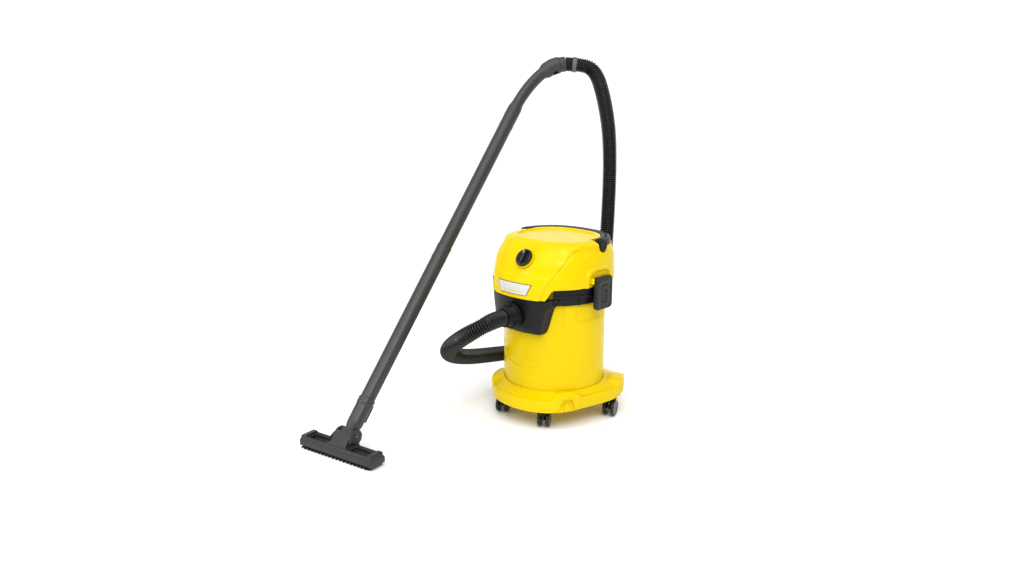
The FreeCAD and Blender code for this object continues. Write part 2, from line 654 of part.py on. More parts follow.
def bent_wire(points, report=""):
    """Straight runs joined by arcs that take 0.45 of the shorter run beside each."""
    edges, radii = [], []
    start = points[0]
    for before, corner, after in zip(points, points[1:], points[2:]):
        back = before - corner
        ahead = after - corner
        reach = 0.45 * min(back.Length, ahead.Length)
        half_turn = (math.pi - back.getAngle(ahead)) / 2
        radius = reach / math.tan(half_turn)
        radii.append(radius)
        back.normalize()
        ahead.normalize()
        enter, leave = corner + back * reach, corner + ahead * reach
        middle = back + ahead
        middle.normalize()
        centre = corner + middle * (radius / math.cos(half_turn))
        apex = centre - middle * radius
        edges.append(Part.LineSegment(start, enter).toShape())
        edges.append(Part.Arc(enter, apex, leave).toShape())
        start = leave
    edges.append(Part.LineSegment(start, points[-1]).toShape())
    wire = Part.Wire(edges)
    if report:
        print(f"{report}: length {wire.Length:.0f} mm, radii", [round(r) for r in radii])
    return wire


def swept(wire, radius):
    """Round bar along the wire, its volume checked against section times length."""
    start = wire.Edges[0].Vertexes[0].Point
    direction = wire.Edges[0].tangentAt(wire.Edges[0].FirstParameter)
    section = Part.Wire(Part.makeCircle(radius, start, direction))
    bar = wire.makePipeShell([section], True, False)
    expected = math.pi * radius ** 2 * wire.Length
    assert abs(bar.Volume / expected - 1) < 0.01, "swept bar has the wrong volume"
    return bar


def build_tubes():
    neck = "neck_length"
    for label, start in (("lower_tube", neck), ("upper_tube", "neck_length + tube_pitch")):
        body = cone(label + "_body", "tube_low_radius", "tube_top_radius", "tube_pitch",
                    (0, 0, start))
        spigot = cylinder(label + "_spigot", "spigot_radius", 34, (0, 0, start + " - 32"))
        bore = cylinder(label + "_bore", "bore_radius", 600, (0, 0, start + " - 60"))
        socket = cylinder(label + "_socket", "spigot_radius", 40,
                          (0, 0, start + " + tube_pitch - 33"))
        tube = cut(label + "_cut", fuse(label + "_walls", body, spigot), bore, socket)
        doc.recompute()
        tube.Placement = WAND_PLACE
        node(tube, label)


def build_neck():
    """Neck between lower tube and nozzle, with its barrel on the tilt pin."""
    throat = cone("neck_throat", 15.5, 20.5, 26, (0, 0, 6))
    stem = cylinder("neck_stem", 20.5, "neck_length - 32", (0, 0, 32))
    collar = cylinder("neck_collar", 22, 16, (0, 0, "neck_length - 16"))
    barrel = cylinder("neck_barrel", 20, 36, (-18, 0, 0), ALONG_X)
    bore = cylinder("neck_bore", "bore_radius - 2", 200, (0, 0, 22))
    socket = cylinder("neck_socket", "spigot_radius", 60, (0, 0, "neck_length - 33"))
    pin = cylinder("neck_pin_hole", 4.05, 60, (-30, 0, 0), ALONG_X)
    neck = cut("neck", fuse("neck_walls", throat, stem, collar, barrel), bore, socket, pin)
    doc.recompute()
    neck.Placement = WAND_PLACE
    node(neck, "nozzle_neck")
    clip_root = box("clip_root", 14, 8, 6, (-7, 21, "neck_length - 14"))
    clip_arm = box("clip_arm", 14, 3, 46, (-7, 26, "neck_length - 54"))
    clip = fuse("clip", clip_root, clip_arm)
    doc.recompute()
    clip.Placement = WAND_PLACE
    node(clip, "parking_clip")


def build_grip():
    """Curved grip, its trigger button, the ribbed cuff and the swivel ring."""
    route = [GRIP_START + WAND_AXIS * along + CUFF_AXIS * out for along, out in GRIP_ROUTE]
    grip = swept(bent_wire(route, "grip"), 20.5)
    end_disc = rod(22.5, tuple(GRIP_END - CUFF_AXIS * 9), tuple(CUFF_AXIS), 9)
    grip = grip.fuse(end_disc).cut(rod(40, tuple(GRIP_END), tuple(CUFF_AXIS), 60))
    spigot = rod(size("spigot_radius"), tuple(GRIP_START - WAND_AXIS * 32), tuple(WAND_AXIS), 40)
    grip = grip.fuse(spigot)
    under = (WAND_AXIS.cross(CUFF_AXIS)).cross(CUFF_AXIS)
    under.normalize()
    seat = GRIP_END - CUFF_AXIS * 26
    pocket = rod(7.2, tuple(seat + under * 12), tuple(under), 30)
    grip = grip.cut(pocket)
    grip = grip.cut(rod(size("bore_radius"), tuple(GRIP_END - CUFF_AXIS * 8), tuple(CUFF_AXIS), 20))
    solid_node(grip, "grip_handle")
    button = rod(7, tuple(seat + under * 15), tuple(under), 9.5)
    solid_node(button, "release_button")
    spigot = rod(size("bore_radius") - 0.05, tuple(GRIP_END - CUFF_AXIS * 7.8),
                 tuple(CUFF_AXIS), 12)
    cuff = rod(21.5, tuple(GRIP_END + CUFF_AXIS * 0.3), tuple(CUFF_AXIS), CUFF_LENGTH - 0.3)
    solid_node(cuff.fuse(spigot), "hose_cuff")
    collar = rod(23, tuple(GRIP_END + CUFF_AXIS * CUFF_LENGTH), tuple(CUFF_AXIS), RING_LENGTH)
    solid_node(collar, "swivel_ring")


def build_nozzle():
    """Floor nozzle: long body with two sunk windows, hump, cheeks and strips."""
    half, depth = size("nozzle_half"), size("nozzle_depth")
    front = -depth / 2 - 28
    rear = depth / 2 - 28
    shell = solid_box(-half, front, 7, half, rear, 33)
    mouth = solid_box(-half + 12, -38, 6, half - 12, -18, 25)
    body = shell.cut(mouth)
    for side in (-1, 1):
        ends = sorted((side * 32, side * 104))
        body = body.cut(solid_box(ends[0], -42, 27.5, ends[1], -14, 40))
    hump = Part.makePolygon([Vector(-28, y, z) for y, z in (
        (front + 4, 30), (-20, 46), (-8, 46), (rear, 30), (front + 4, 30))])
    body = body.fuse(Part.Face(hump).extrude(Vector(56, 0, 0)))
    barrel = rod(21.5, (-19, 0, size("pivot_height")), (1, 0, 0), 38)
    body = body.cut(barrel)
    for side in (-1, 1):
        cheek = rod(19, (side * 18.5, 0, size("pivot_height")), (side, 0, 0), 7)
        foot = solid_box(min(side * 18.5, side * 25.5), -20, 26, max(side * 18.5, side * 25.5), 6, 46)
        body = body.fuse(cheek).fuse(foot)
    body = body.cut(rod(4, (-40, 0, size("pivot_height")), (1, 0, 0), 80))
    body = body.cut(rod(12, (0, -24, 20), (0, 0.45, 1), 26))
    nozzle = solid_node(body.removeSplitter(), "nozzle_body")
    strips = {"front_strip": front + 5, "rear_strip": rear - 9}
    for label, start in strips.items():
        teeth = solid_box(-half + 8, start, 0, half - 8, start + 4, 7)
        for step in range(-9, 10):
            teeth = teeth.cut(solid_box(step * 12 - 1, start - 1, -1, step * 12 + 1, start + 5, 3.5))
        strip = solid_node(teeth, label)
        strip.Placement = NOZZLE_PLACE
    nozzle.Placement = NOZZLE_PLACE
    pin = solid_node(rod(4, (-25.5, 0, size("pivot_height")), (1, 0, 0), 51), "nozzle_pin")
    pin.Placement = NOZZLE_PLACE


# ---------------------------------------------------------------- hose
# hand-picked route of the suction hose's centre line, inlet end first
HOSE_ROUTE = (
    (0, -204, 305), (0, -240, 305), (-12, -272, 292), (-44, -296, 268), (-90, -298, 235),
    (-136, -274, 200), (-170, -222, 168), (-188, -150, 142), (-202, -65, 122), (-208, 35, 104),
    (-202, 130, 84), (-175, 215, 76), (-125, 275, 104), (-90, 303, 172), (-76, 312, 256),
    (-70, 316, 346), (-69, 322, 438), (-72, 330, 530), (-78, 340, 612), (-88, 350, 690),
    (-104, 362, 755), (-128, 375, 815), (-153, 386, 864), (-176, 393, 901),
)


def build_hose():
    """Corrugated suction hose as one plain bar, and its bayonet connector."""
    route = [Vector(*point) for point in HOSE_ROUTE]
    route += [HOSE_END + CUFF_AXIS * 36, HOSE_END]
    path = bent_wire(route, "hose")
    wall = swept(path, size("hose_radius")).cut(swept(path, size("hose_radius") - 3))
    solid_node(wall, "hose_tube")
    outward = Rotation(Vector(1, 0, 0), 90)
    plug = cylinder("connector_plug", "port_radius - 0.1", 24,
                    (0, "6 - inlet_face", "inlet_height"), outward)
    flange = cylinder("connector_flange", "collar_radius", 6,
                      (0, "0 - inlet_face - 6.3", "inlet_height"), outward)
    sleeve = cylinder("connector_sleeve", 25, 27.5,
                      (0, "0 - inlet_face - 10.5", "inlet_height"), outward)
    node(fuse("connector", plug, flange, sleeve), "hose_connector")


build_casters()
build_chassis()
build_container()
build_inlet()
build_head_cover()
build_badge()
build_head_inside()
build_rotor()
build_filter()
build_handle_and_knob()
build_latches()
build_tubes()
build_neck()
build_grip()
build_nozzle()
build_hose()
doc.recompute()

# ---------------------------------------------------------------- checks and export
for obj in doc.Objects:
    assert "Invalid" not in obj.State and "Error" not in obj.State, f"{obj.Label} failed"
for piece in pieces:
    assert not piece.Shape.isNull() and piece.Shape.isValid(), f"{piece.Label} is not valid"
    assert piece.Shape.Volume > 1, f"{piece.Label} is empty"
assert len({piece.Label for piece in pieces}) == len(pieces) <= 60
for piece in pieces:
    piece.Shape.exportStep(f"parts/{piece.Label}.step")
    bounds = piece.Shape.optimalBoundingBox(False)
    volume = piece.Shape.Volume / 1000
    print(f"{piece.Label:26s} solids {len(piece.Shape.Solids)} volume {volume:9.1f} cm3 "
          f"x {bounds.XMin:7.1f} {bounds.XMax:7.1f} y {bounds.YMin:7.1f} {bounds.YMax:7.1f} "
          f"z {bounds.ZMin:6.1f} {bounds.ZMax:6.1f}")
print(len(pieces), "pieces")
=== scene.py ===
"""Looks of the wet-and-dry shop vacuum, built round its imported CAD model.

Shapes are worked out in millimetres, in the CAD's own frame: +Z up, the front at -Y.
"""
import bpy
import bmesh
import math
import numpy as np
from mathutils import Matrix, Vector


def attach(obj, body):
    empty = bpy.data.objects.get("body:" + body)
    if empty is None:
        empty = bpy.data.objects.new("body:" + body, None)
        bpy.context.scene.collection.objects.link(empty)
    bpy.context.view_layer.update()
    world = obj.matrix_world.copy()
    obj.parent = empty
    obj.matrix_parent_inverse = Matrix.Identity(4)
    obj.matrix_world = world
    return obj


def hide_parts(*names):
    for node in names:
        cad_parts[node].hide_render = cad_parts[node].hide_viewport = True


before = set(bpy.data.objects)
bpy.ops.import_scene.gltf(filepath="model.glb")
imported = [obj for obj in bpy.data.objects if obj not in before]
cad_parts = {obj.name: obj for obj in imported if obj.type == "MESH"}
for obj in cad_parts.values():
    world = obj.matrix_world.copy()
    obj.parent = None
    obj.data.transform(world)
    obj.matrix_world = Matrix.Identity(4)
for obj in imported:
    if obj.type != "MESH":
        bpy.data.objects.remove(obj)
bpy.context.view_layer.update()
MM = 0.001


# ---------------------------------------------------------------- camera
def make_camera():
    """Stands 40 degrees round from the front and looks a little left of the container."""
    distance, height, bearing = 2.25, 0.926, math.radians(40)
    pitch, focal = math.radians(14.5), 858 / 1024 * 36
    off_axis = math.atan(45.5 / 858 * math.cos(pitch))
    camera = bpy.data.objects.new("camera", bpy.data.cameras.new("camera"))
    bpy.context.scene.collection.objects.link(camera)
    camera.data.lens = focal
    camera.location = (distance * math.sin(bearing), -distance * math.cos(bearing), height)
    camera.rotation_euler = (math.pi / 2 - pitch, 0, bearing + off_axis)
    bpy.context.scene.camera = camera


make_camera()


# ---------------------------------------------------------------- materials
def shade(name, colour, rough, grain=0.0, grain_size=1.0, coat=0.0, wear=0.25, variety=0.05):
    """Moulded material: colour and gloss vary softly, a fine grain, edges a little lighter."""
    material = bpy.data.materials.new(name)
    material.use_nodes = True
    nodes, links = material.node_tree.nodes, material.node_tree.links
    shader = nodes["Principled BSDF"]
    shader.inputs["Coat Weight"].default_value = coat
    shader.inputs["Coat Roughness"].default_value = 0.12
    place = nodes.new("ShaderNodeTexCoord")

    def noise(scale, detail):
        node = nodes.new("ShaderNodeTexNoise")
        node.inputs["Scale"].default_value = scale
        node.inputs["Detail"].default_value = detail
        links.new(place.outputs["Object"], node.inputs["Vector"])
        return node.outputs["Fac"]

    def span(source, low, high, start=0.3, end=0.7):
        node = nodes.new("ShaderNodeMapRange")
        for key, value in (("From Min", start), ("From Max", end), ("To Min", low), ("To Max", high)):
            node.inputs[key].default_value = value
        links.new(source, node.inputs["Value"])
        return node.outputs["Result"]

    def mix(factor, first, second):
        node = nodes.new("ShaderNodeMix")
        node.data_type = "RGBA"
        links.new(factor, node.inputs["Factor"])
        for key, value in (("A", first), ("B", second)):
            socket = [s for s in node.inputs if s.name == key and s.type == "RGBA"][0]
            if isinstance(value, tuple):
                socket.default_value = (*value, 1)
            else:
                links.new(value, socket)
        return [s for s in node.outputs if s.type == "RGBA"][0]

    darker = tuple(c * (1 - variety) for c in colour)
    lighter = tuple(min(1, c * (1 + variety)) for c in colour)
    base = mix(span(noise(9, 3), 0, 1), darker, lighter)
    edge = nodes.new("ShaderNodeNewGeometry").outputs["Pointiness"]
    worn = tuple(min(1, c * 1.25 + 0.015) for c in colour)
    links.new(mix(span(edge, 0, wear, 0.52, 0.6), base, worn), shader.inputs["Base Color"])
    links.new(span(noise(35, 4), rough * 0.88, rough * 1.12), shader.inputs["Roughness"])
    if grain:
        bump = nodes.new("ShaderNodeBump")
        bump.inputs["Strength"].default_value = grain
        bump.inputs["Distance"].default_value = 0.0003
        links.new(noise(1600 / grain_size, 2), bump.inputs["Height"])
        links.new(bump.outputs["Normal"], shader.inputs["Normal"])
    return material


YELLOW = shade("yellow_gloss", (0.76, 0.56, 0.0), 0.27, 0.03, 3, coat=0.0, wear=0.2, variety=0.02)
YELLOW.node_tree.nodes["Principled BSDF"].inputs["Specular IOR Level"].default_value = 0.2
BLACK = shade("black_satin", (0.008, 0.008, 0.009), 0.38, 0.25, 1.2)
BLACK.node_tree.nodes["Principled BSDF"].inputs["Specular IOR Level"].default_value = 0.35
GLOSS = shade("black_gloss", (0.009, 0.009, 0.01), 0.2, 0.05, 2, coat=0.2)
GREY = shade("grey_textured", (0.032, 0.0325, 0.034), 0.42, 0.35, 1.0)
TUBES = shade("tube_grey", (0.05, 0.051, 0.053), 0.38, 0.2, 1.0)
LATCH = shade("latch_grey", (0.018, 0.018, 0.019), 0.36, 0.25, 1.0)
HOSE = shade("hose_vinyl", (0.012, 0.012, 0.013), 0.27, 0.1, 2)
RING = shade("ring_grey", (0.13, 0.132, 0.135), 0.4, 0.2, 1)
RUBBER = shade("rubber", (0.014, 0.014, 0.014), 0.7, 0.5, 1)
STEEL = shade("zinc_steel", (0.55, 0.56, 0.57), 0.35, 0.1, 1)
STEEL.node_tree.nodes["Principled BSDF"].inputs["Metallic"].default_value = 1
IRON = shade("laminations", (0.22, 0.22, 0.23), 0.5, 0.4, 2)
IRON.node_tree.nodes["Principled BSDF"].inputs["Metallic"].default_value = 1
ALLOY = shade("pressed_alloy", (0.7, 0.7, 0.72), 0.4, 0.2, 1)
ALLOY.node_tree.nodes["Principled BSDF"].inputs["Metallic"].default_value = 1
PLEATS = shade("filter_paper", (0.86, 0.13, 0.02), 0.8, 0.5, 1, variety=0.12)
FOAM = shade("open_foam", (0.1, 0.1, 0.1), 0.95, 1.0, 3, variety=0.3)
CAP = shade("cap_plastic", (0.75, 0.75, 0.72), 0.4, 0.1, 1)
PLATE = shade("badge_plate", (0.6, 0.61, 0.6), 0.35, 0.05, 1, coat=0.3)
DARK_EDGE = shade("badge_edge", (0.03, 0.03, 0.032), 0.4, 0.1, 1)


# ---------------------------------------------------------------- mesh tools
def piece(name, points, faces, body, slot, material, nodes=(), sharp=40):
    """A mesh from points in millimetres that rides on a body and stands for CAD nodes."""
    mesh = bpy.data.meshes.new(name)
    mesh.from_pydata((np.asarray(points, float) * MM).tolist(), [], faces)
    work = bmesh.new()
    work.from_mesh(mesh)
    bmesh.ops.remove_doubles(work, verts=work.verts, dist=1e-6)
    bmesh.ops.recalc_face_normals(work, faces=work.faces)
    work.to_mesh(mesh)
    work.free()
    return finished(name, mesh, body, material, nodes, sharp)


def finished(name, mesh, body, material, nodes=(), sharp=40):
    mesh.polygons.foreach_set("use_smooth", [True] * len(mesh.polygons))
    mesh.set_sharp_from_angle(angle=math.radians(sharp))
    mesh.materials.clear()
    mesh.materials.append(material)
    obj = bpy.data.objects.new(name, mesh)
    bpy.context.scene.collection.objects.link(obj)
    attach(obj, body)
    if nodes:
        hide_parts(*nodes)
    return obj


def grid_faces(rows, cols, wrap=True, start=0):
    """Quads between neighbouring rows, with a cap on the first and the last row."""
    faces = []
    last = cols if wrap else cols - 1
    for row in range(rows - 1):
        for col in range(last):
            a, b = start + row * cols + col, start + row * cols + (col + 1) % cols
            faces.append((a, b, b + cols, a + cols))
    if wrap:
        faces.append(tuple(start + col for col in range(cols)))
        faces.append(tuple(start + (rows - 1) * cols + col for col in range(cols)))
    return faces


def gridded(name, grid, body, slot, material, nodes=(), sharp=40):
    """A closed skin over rows of rings; the first and the last ring are capped."""
    grid = np.asarray(grid, float)
    rows, cols = grid.shape[:2]
    return piece(name, grid.reshape(-1, 3), grid_faces(rows, cols), body, slot, material, nodes, sharp)


def filleted(points, steps=5):
    """Line through (x, y, radius) corners, each rounded by its radius."""
    line = [points[0][:2]]
    for before, corner, after in zip(points, points[1:], points[2:]):
        here = Vector(corner[:2])
        back, ahead = Vector(before[:2]) - here, Vector(after[:2]) - here
        radius = corner[2] if len(corner) > 2 else 0
        reach = min(radius, 0.45 * back.length, 0.45 * ahead.length)
        if reach < 0.05:
            line.append(tuple(here))
            continue
        enter, leave = here + back.normalized() * reach, here + ahead.normalized() * reach
        for step in range(steps + 1):
            t = step / steps
            line.append(tuple(enter.lerp(here, t).lerp(here.lerp(leave, t), t)))
    line.append(points[-1][:2])
    return line


def frame_at(origin, axis, side=(0, 0, 1)):
    """Placement, in millimetres, whose Z runs along axis and whose X is near side."""
    z = Vector(axis).normalized()
    x = Vector(side) - z * Vector(side).dot(z)
    if x.length < 1e-3:
        x = Vector((1, 0, 0)) - z * z.x
    x.normalize()
    turn = Matrix((x, z.cross(x), z)).transposed().to_4x4()
    return Matrix.Translation(Vector(origin)) @ turn


def moved(points, place):
    points = np.asarray(points, float)
    turn = np.array(place.to_3x3())
    return points @ turn.T + np.array(place.translation)


def turned_points(line, place=Matrix.Identity(4), segments=64):
    """Rings of a body of revolution from its (radius, height) line."""
    angles = np.linspace(0, 2 * math.pi, segments, endpoint=False)
    rings = [[(max(r, 0.01) * math.cos(a), max(r, 0.01) * math.sin(a), h) for a in angles]
             for r, h in line]
    return moved(rings, place)


def turned(name, line, body, slot, material, nodes=(), place=Matrix.Identity(4), segments=64,
           sharp=40):
    return gridded(name, turned_points(filleted(line), place, segments), body, slot, material,
                   nodes, sharp)


def joined(name, parts, body, slot, material, nodes=(), sharp=40):
    """Several closed skins, each rows of rings, in one piece."""
    points, faces = [], []
    for grid in parts:
        rows, cols = grid.shape[:2]
        faces += grid_faces(rows, cols, start=len(points))
        points += grid.reshape(-1, 3).tolist()
    return piece(name, points, faces, body, slot, material, nodes, sharp)


def rounded_box(low, high, bevel, place=Matrix.Identity(4)):
    """Rings of a box whose corners and rims are rounded."""
    (x0, y0, z0), (x1, y1, z1) = low, high
    bevel = min(bevel, (x1 - x0) / 2.1, (y1 - y0) / 2.1, (z1 - z0) / 2.1)
    rings = []
    levels = [(bevel * (1 - math.sin(t)), z0 + bevel * (1 - math.cos(t)))
              for t in np.linspace(0, math.pi / 2, 4)]
    levels += [(inset, z0 + z1 - height) for inset, height in reversed(levels)]
    for inset, height in levels:
        ring = []
        corner = bevel
        for cx, cy, turn in ((x1 - corner, y1 - corner, 0), (x0 + corner, y1 - corner, 1),
                             (x0 + corner, y0 + corner, 2), (x1 - corner, y0 + corner, 3)):
            for t in np.linspace(0, math.pi / 2, 5):
                angle = t + turn * math.pi / 2
                reach = max(corner - inset, 0.02)
                ring.append((cx + reach * math.cos(angle), cy + reach * math.sin(angle), height))
        rings.append(ring)
    return moved(rings, place)


def melted(name, parts, holes, body, slot, material, nodes=(), voxel=0.9, soften=4):
    """Closed skins melted into one moulding, after the holes have been cut from it."""
    solid = piece(name + "_raw", *merged(parts), body, slot, material)
    if holes:
        tool = piece(name + "_tool", *merged(holes), body, slot, material)
        cutter = solid.modifiers.new("cut", "BOOLEAN")
        cutter.object = tool
        cutter.solver = "EXACT"
        cutter.use_self = True
        solid.data = applied(solid)
        solid.modifiers.clear()
        bpy.data.objects.remove(tool)
    skin = solid.modifiers.new("melt", "REMESH")
    skin.mode = "VOXEL"
    skin.voxel_size = voxel * MM
    blur = solid.modifiers.new("soften", "SMOOTH")
    blur.factor = 0.5
    blur.iterations = soften
    mesh = applied(solid)
    bpy.data.objects.remove(solid)
    return finished(name, mesh, body, material, nodes, 180)


def merged(parts):
    points, faces = [], []
    for grid in parts:
        rows, cols = grid.shape[:2]
        faces += grid_faces(rows, cols, start=len(points))
        points += grid.reshape(-1, 3).tolist()
    return points, faces


def applied(obj):
    bpy.context.view_layer.update()
    graph = bpy.context.evaluated_depsgraph_get()
    return bpy.data.meshes.new_from_object(obj.evaluated_get(graph))


def ease(value, low, high):
    """0 below low, 1 above high, smooth between."""
    t = np.clip((np.asarray(value, float) - low) / (high - low), 0, 1)
    return t * t * (3 - 2 * t)


def spline(xs, ys):
    """Natural cubic curve through the points, as a function."""
    xs, ys = np.asarray(xs, float), np.asarray(ys, float)
    count, step = len(xs), np.diff(xs)
    system, right = np.eye(count), np.zeros(count)
    for i in range(1, count - 1):
        system[i, i - 1:i + 2] = step[i - 1], 2 * (step[i - 1] + step[i]), step[i]
        right[i] = 6 * ((ys[i + 1] - ys[i]) / step[i] - (ys[i] - ys[i - 1]) / step[i - 1])
    bend = np.linalg.solve(system, right)

    def at(x):
        x = np.asarray(x, float)
        i = np.clip(np.searchsorted(xs, x) - 1, 0, count - 2)
        a, b, h = xs[i + 1] - x, x - xs[i], step[i]
        return ((bend[i] * a ** 3 + bend[i + 1] * b ** 3) / (6 * h)
                + (ys[i] / h - bend[i] * h / 6) * a + (ys[i + 1] / h - bend[i + 1] * h / 6) * b)
    return at


def oval(bearing, front, side, rear, power=2.4):
    """Radius of the head's superellipse plan; bearing 0 is the front, +90 degrees is +X."""
    length = np.where(np.cos(bearing) > 0, front, rear)
    across = np.abs(np.sin(bearing) / side) ** power
    return (across + np.abs(np.cos(bearing) / length) ** power) ** (-1 / power)


def polar(bearing, radius, height):
    """Points from bearings, radii and heights that broadcast together."""
    bearing, radius, height = np.broadcast_arrays(bearing, radius, height)
    return np.stack([radius * np.sin(bearing), -radius * np.cos(bearing), height], -1)


# ---------------------------------------------------------------- hose
ROUTE = (
    (0, -204, 305), (0, -240, 305), (-12, -272, 292), (-44, -296, 268), (-90, -298, 235),
    (-136, -274, 200), (-170, -222, 168), (-188, -150, 142), (-202, -65, 122), (-208, 35, 104),
    (-202, 130, 84), (-175, 215, 76), (-125, 275, 104), (-90, 303, 172), (-76, 312, 256),
    (-70, 316, 346), (-69, 322, 438), (-72, 330, 530), (-78, 340, 612), (-88, 350, 690),
    (-104, 362, 755), (-128, 375, 815), (-153, 386, 864), (-176, 393, 901),
)
HEADING, TILT = math.radians(9), math.radians(44)
ELBOW = Vector((-182, -564, 45))
WAND = Vector((-math.sin(HEADING) * math.sin(TILT), math.cos(HEADING) * math.sin(TILT), math.cos(TILT)))
CUFF = Vector((math.sin(math.radians(50)) * math.cos(math.radians(4)),
               math.cos(math.radians(50)) * math.cos(math.radians(4)), -math.sin(math.radians(4))))
NECK_LENGTH, TUBE_PITCH = 101, 465
GRIP_START = ELBOW + WAND * (NECK_LENGTH + 2 * TUBE_PITCH)
GRIP_END = GRIP_START + WAND * 210 + CUFF * 81
CUFF_LENGTH, RING_LENGTH = 22, 12
HOSE_END = GRIP_END + CUFF * (CUFF_LENGTH + RING_LENGTH)
HOSE_RADIUS, RIB_PITCH = 21.8, 6.1


def smooth_route(points):
    """Points of the NURBS line that has the route's points as its control points."""
    curve = bpy.data.curves.new("route", "CURVE")
    curve.dimensions = "3D"
    line = curve.splines.new("NURBS")
    line.points.add(len(points) - 1)
    for place, point in zip(line.points, points):
        place.co = (*(Vector(point) * MM), 1)
    line.order_u = 3
    line.use_endpoint_u = True
    curve.resolution_u = 16
    obj = bpy.data.objects.new("route", curve)
    bpy.context.scene.collection.objects.link(obj)
    mesh = bpy.data.meshes.new_from_object(obj)
    found = np.array([tuple(v.co) for v in mesh.vertices]) / MM
    bpy.data.objects.remove(obj)
    bpy.data.meshes.remove(mesh)
    return found


def evenly(line, step):
    """The same line with points at equal steps along it."""
    along = np.concatenate([[0], np.cumsum(np.linalg.norm(np.diff(line, axis=0), axis=1))])
    places = np.linspace(0, along[-1], int(round(along[-1] / step)) + 1)
    return np.stack([np.interp(places, along, line[:, k]) for k in range(3)], 1), places


def sweep(line, radius_at, segments=40, up=(0, 0, 1)):
    """Rings round a line that don't twist; radius_at gives each ring's radii."""
    tangents = np.gradient(line, axis=0)
    tangents /= np.linalg.norm(tangents, axis=1)[:, None]
    side = np.cross(tangents[0], np.array(up, float) + np.array((0.01, 0.02, 0)))
    side /= np.linalg.norm(side)
    angles = np.linspace(0, 2 * math.pi, segments, endpoint=False)
    rings = []
    for index, (centre, tangent) in enumerate(zip(line, tangents)):
        side = side - tangent * side.dot(tangent)
        side /= np.linalg.norm(side)
        other = np.cross(tangent, side)
        radius = np.broadcast_to(radius_at(index, angles), angles.shape)[:, None]
        rings.append(centre + radius * (np.cos(angles)[:, None] * side + np.sin(angles)[:, None] * other))
    return np.array(rings)


def make_hose():
    """Corrugated hose along its route, its cuff, ring and bayonet connector."""
    route = list(ROUTE) + [tuple(HOSE_END + CUFF * 36), tuple(HOSE_END)]
    line, along = evenly(smooth_route(route), RIB_PITCH / 8)
    plain_end = 3

    def radius_at(index, angles):
        place = along[index]
        wave = 0.5 + 0.5 * math.cos(2 * math.pi * place / RIB_PITCH)
        inside = min(place, along[-1] - place) > plain_end
        return HOSE_RADIUS - (3.6 * (1 - wave ** 0.7) if inside else 1.6)

    hose = gridded("suction_hose", sweep(line, radius_at, 44), "base", "hose_plastic", HOSE,
                   ("hose_tube",), 75)
    cuff_place = frame_at(GRIP_END, CUFF)
    ribs = [(16.3, -7.4), (16.3, 0.4), (21.2, 0.4, 0.8)]
    for step in range(4):
        ribs += [(21.2, 3.4 + step * 4.8, 0.6), (19.8, 4.1 + step * 4.8, 0.5),
                 (19.8, 5.6 + step * 4.8, 0.5), (21.2, 6.3 + step * 4.8, 0.6)]
    ribs += [(21.2, CUFF_LENGTH - 0.1), (16, CUFF_LENGTH - 0.1)]
    cuff = turned("hose_cuff_ribbed", ribs, "base", "hose_plastic", BLACK, ("hose_cuff",), cuff_place)
    ring = turned("swivel_ring_grey",
                  [(15, CUFF_LENGTH), (23, CUFF_LENGTH, 1.4), (23, CUFF_LENGTH + 4, 0.5),
                   (22.3, CUFF_LENGTH + 4.6, 0.4), (22.3, CUFF_LENGTH + 6.2, 0.4),
                   (23, CUFF_LENGTH + 6.8, 0.5), (23, CUFF_LENGTH + RING_LENGTH, 1.6),
                   (15, CUFF_LENGTH + RING_LENGTH)],
                  "base", "ring_grey", RING, ("swivel_ring",), cuff_place)
    connector = joined("bayonet_connector", connector_skins(), "base", "black_plastic", BLACK,
                       ("hose_connector",))


def connector_skins():
    """Sleeve with grip ribs, its flange and three raised bayonet lugs."""
    place = frame_at((0, -160, 305), (0, -1, 0))
    sleeve = [(16, 0), (23.9, 0, 1), (23.9, 12.3), (33.5, 12.3, 1.2), (33.5, 18.3, 2), (27.5, 18.8, 2),
              (26.5, 24, 1)]
    for step in range(3):
        sleeve += [(25.6, 25.5 + step * 5.2, 0.6), (24.2, 26.2 + step * 5.2, 0.5),
                   (24.2, 28.2 + step * 5.2, 0.5), (25.6, 28.9 + step * 5.2, 0.6)]
    sleeve += [(25.2, 44, 1.2), (20.5, 44)]
    skins = [turned_points(filleted(sleeve), place)]
    for turn in (0, 120, 240):
        lug_place = place @ Matrix.Rotation(math.radians(turn), 4, "Z")
        skins.append(rounded_box((25, -8, 17), (33.8, 8, 25), 2.2, lug_place))
    return skins


make_hose()


# ---------------------------------------------------------------- head
HEAD_LEVELS = (352, 380, 400, 425, 452, 474, 486, 492)
HEAD_FRONT = spline(HEAD_LEVELS, (167, 166, 163, 153, 139, 117, 100, 88))
HEAD_SIDE = spline(HEAD_LEVELS, (151, 151, 151, 149, 146, 140, 136, 118))
HEAD_REAR = spline(HEAD_LEVELS, (150, 150, 151, 150, 148, 143, 134, 116))
CREASE = spline((352, 398, 425, 451, 477, 492), np.radians((26, 33, 41, 50, 62, 80)))
SHIELD_SIDE = spline((400, 427, 446, 470, 492), np.radians((22, 38, 45, 52, 54)))
APRON_LOW, HEAD_LOW, HEAD_TOP = 352.3, 379.6, 492
GROOVE_FLOOR, PIVOT_Y, PIVOT_Z, HUB = 474.5, 28, 477, 15
KNOB_POINT = Vector((16, -138.6, 452))
SHIELD_TURN = math.radians(7)


def head_radius(bearing, height):
    return oval(bearing, HEAD_FRONT(height), HEAD_SIDE(height), HEAD_REAR(height))


def head_low(bearing, radius=160):
    """The cover's lower edge: an apron at the front, higher behind a slanted step."""
    across = np.abs(radius * np.sin(bearing))
    behind = np.cos(bearing) < 0
    return APRON_LOW + (HEAD_LOW - APRON_LOW) * np.where(behind, 1, ease(across, 82, 101))


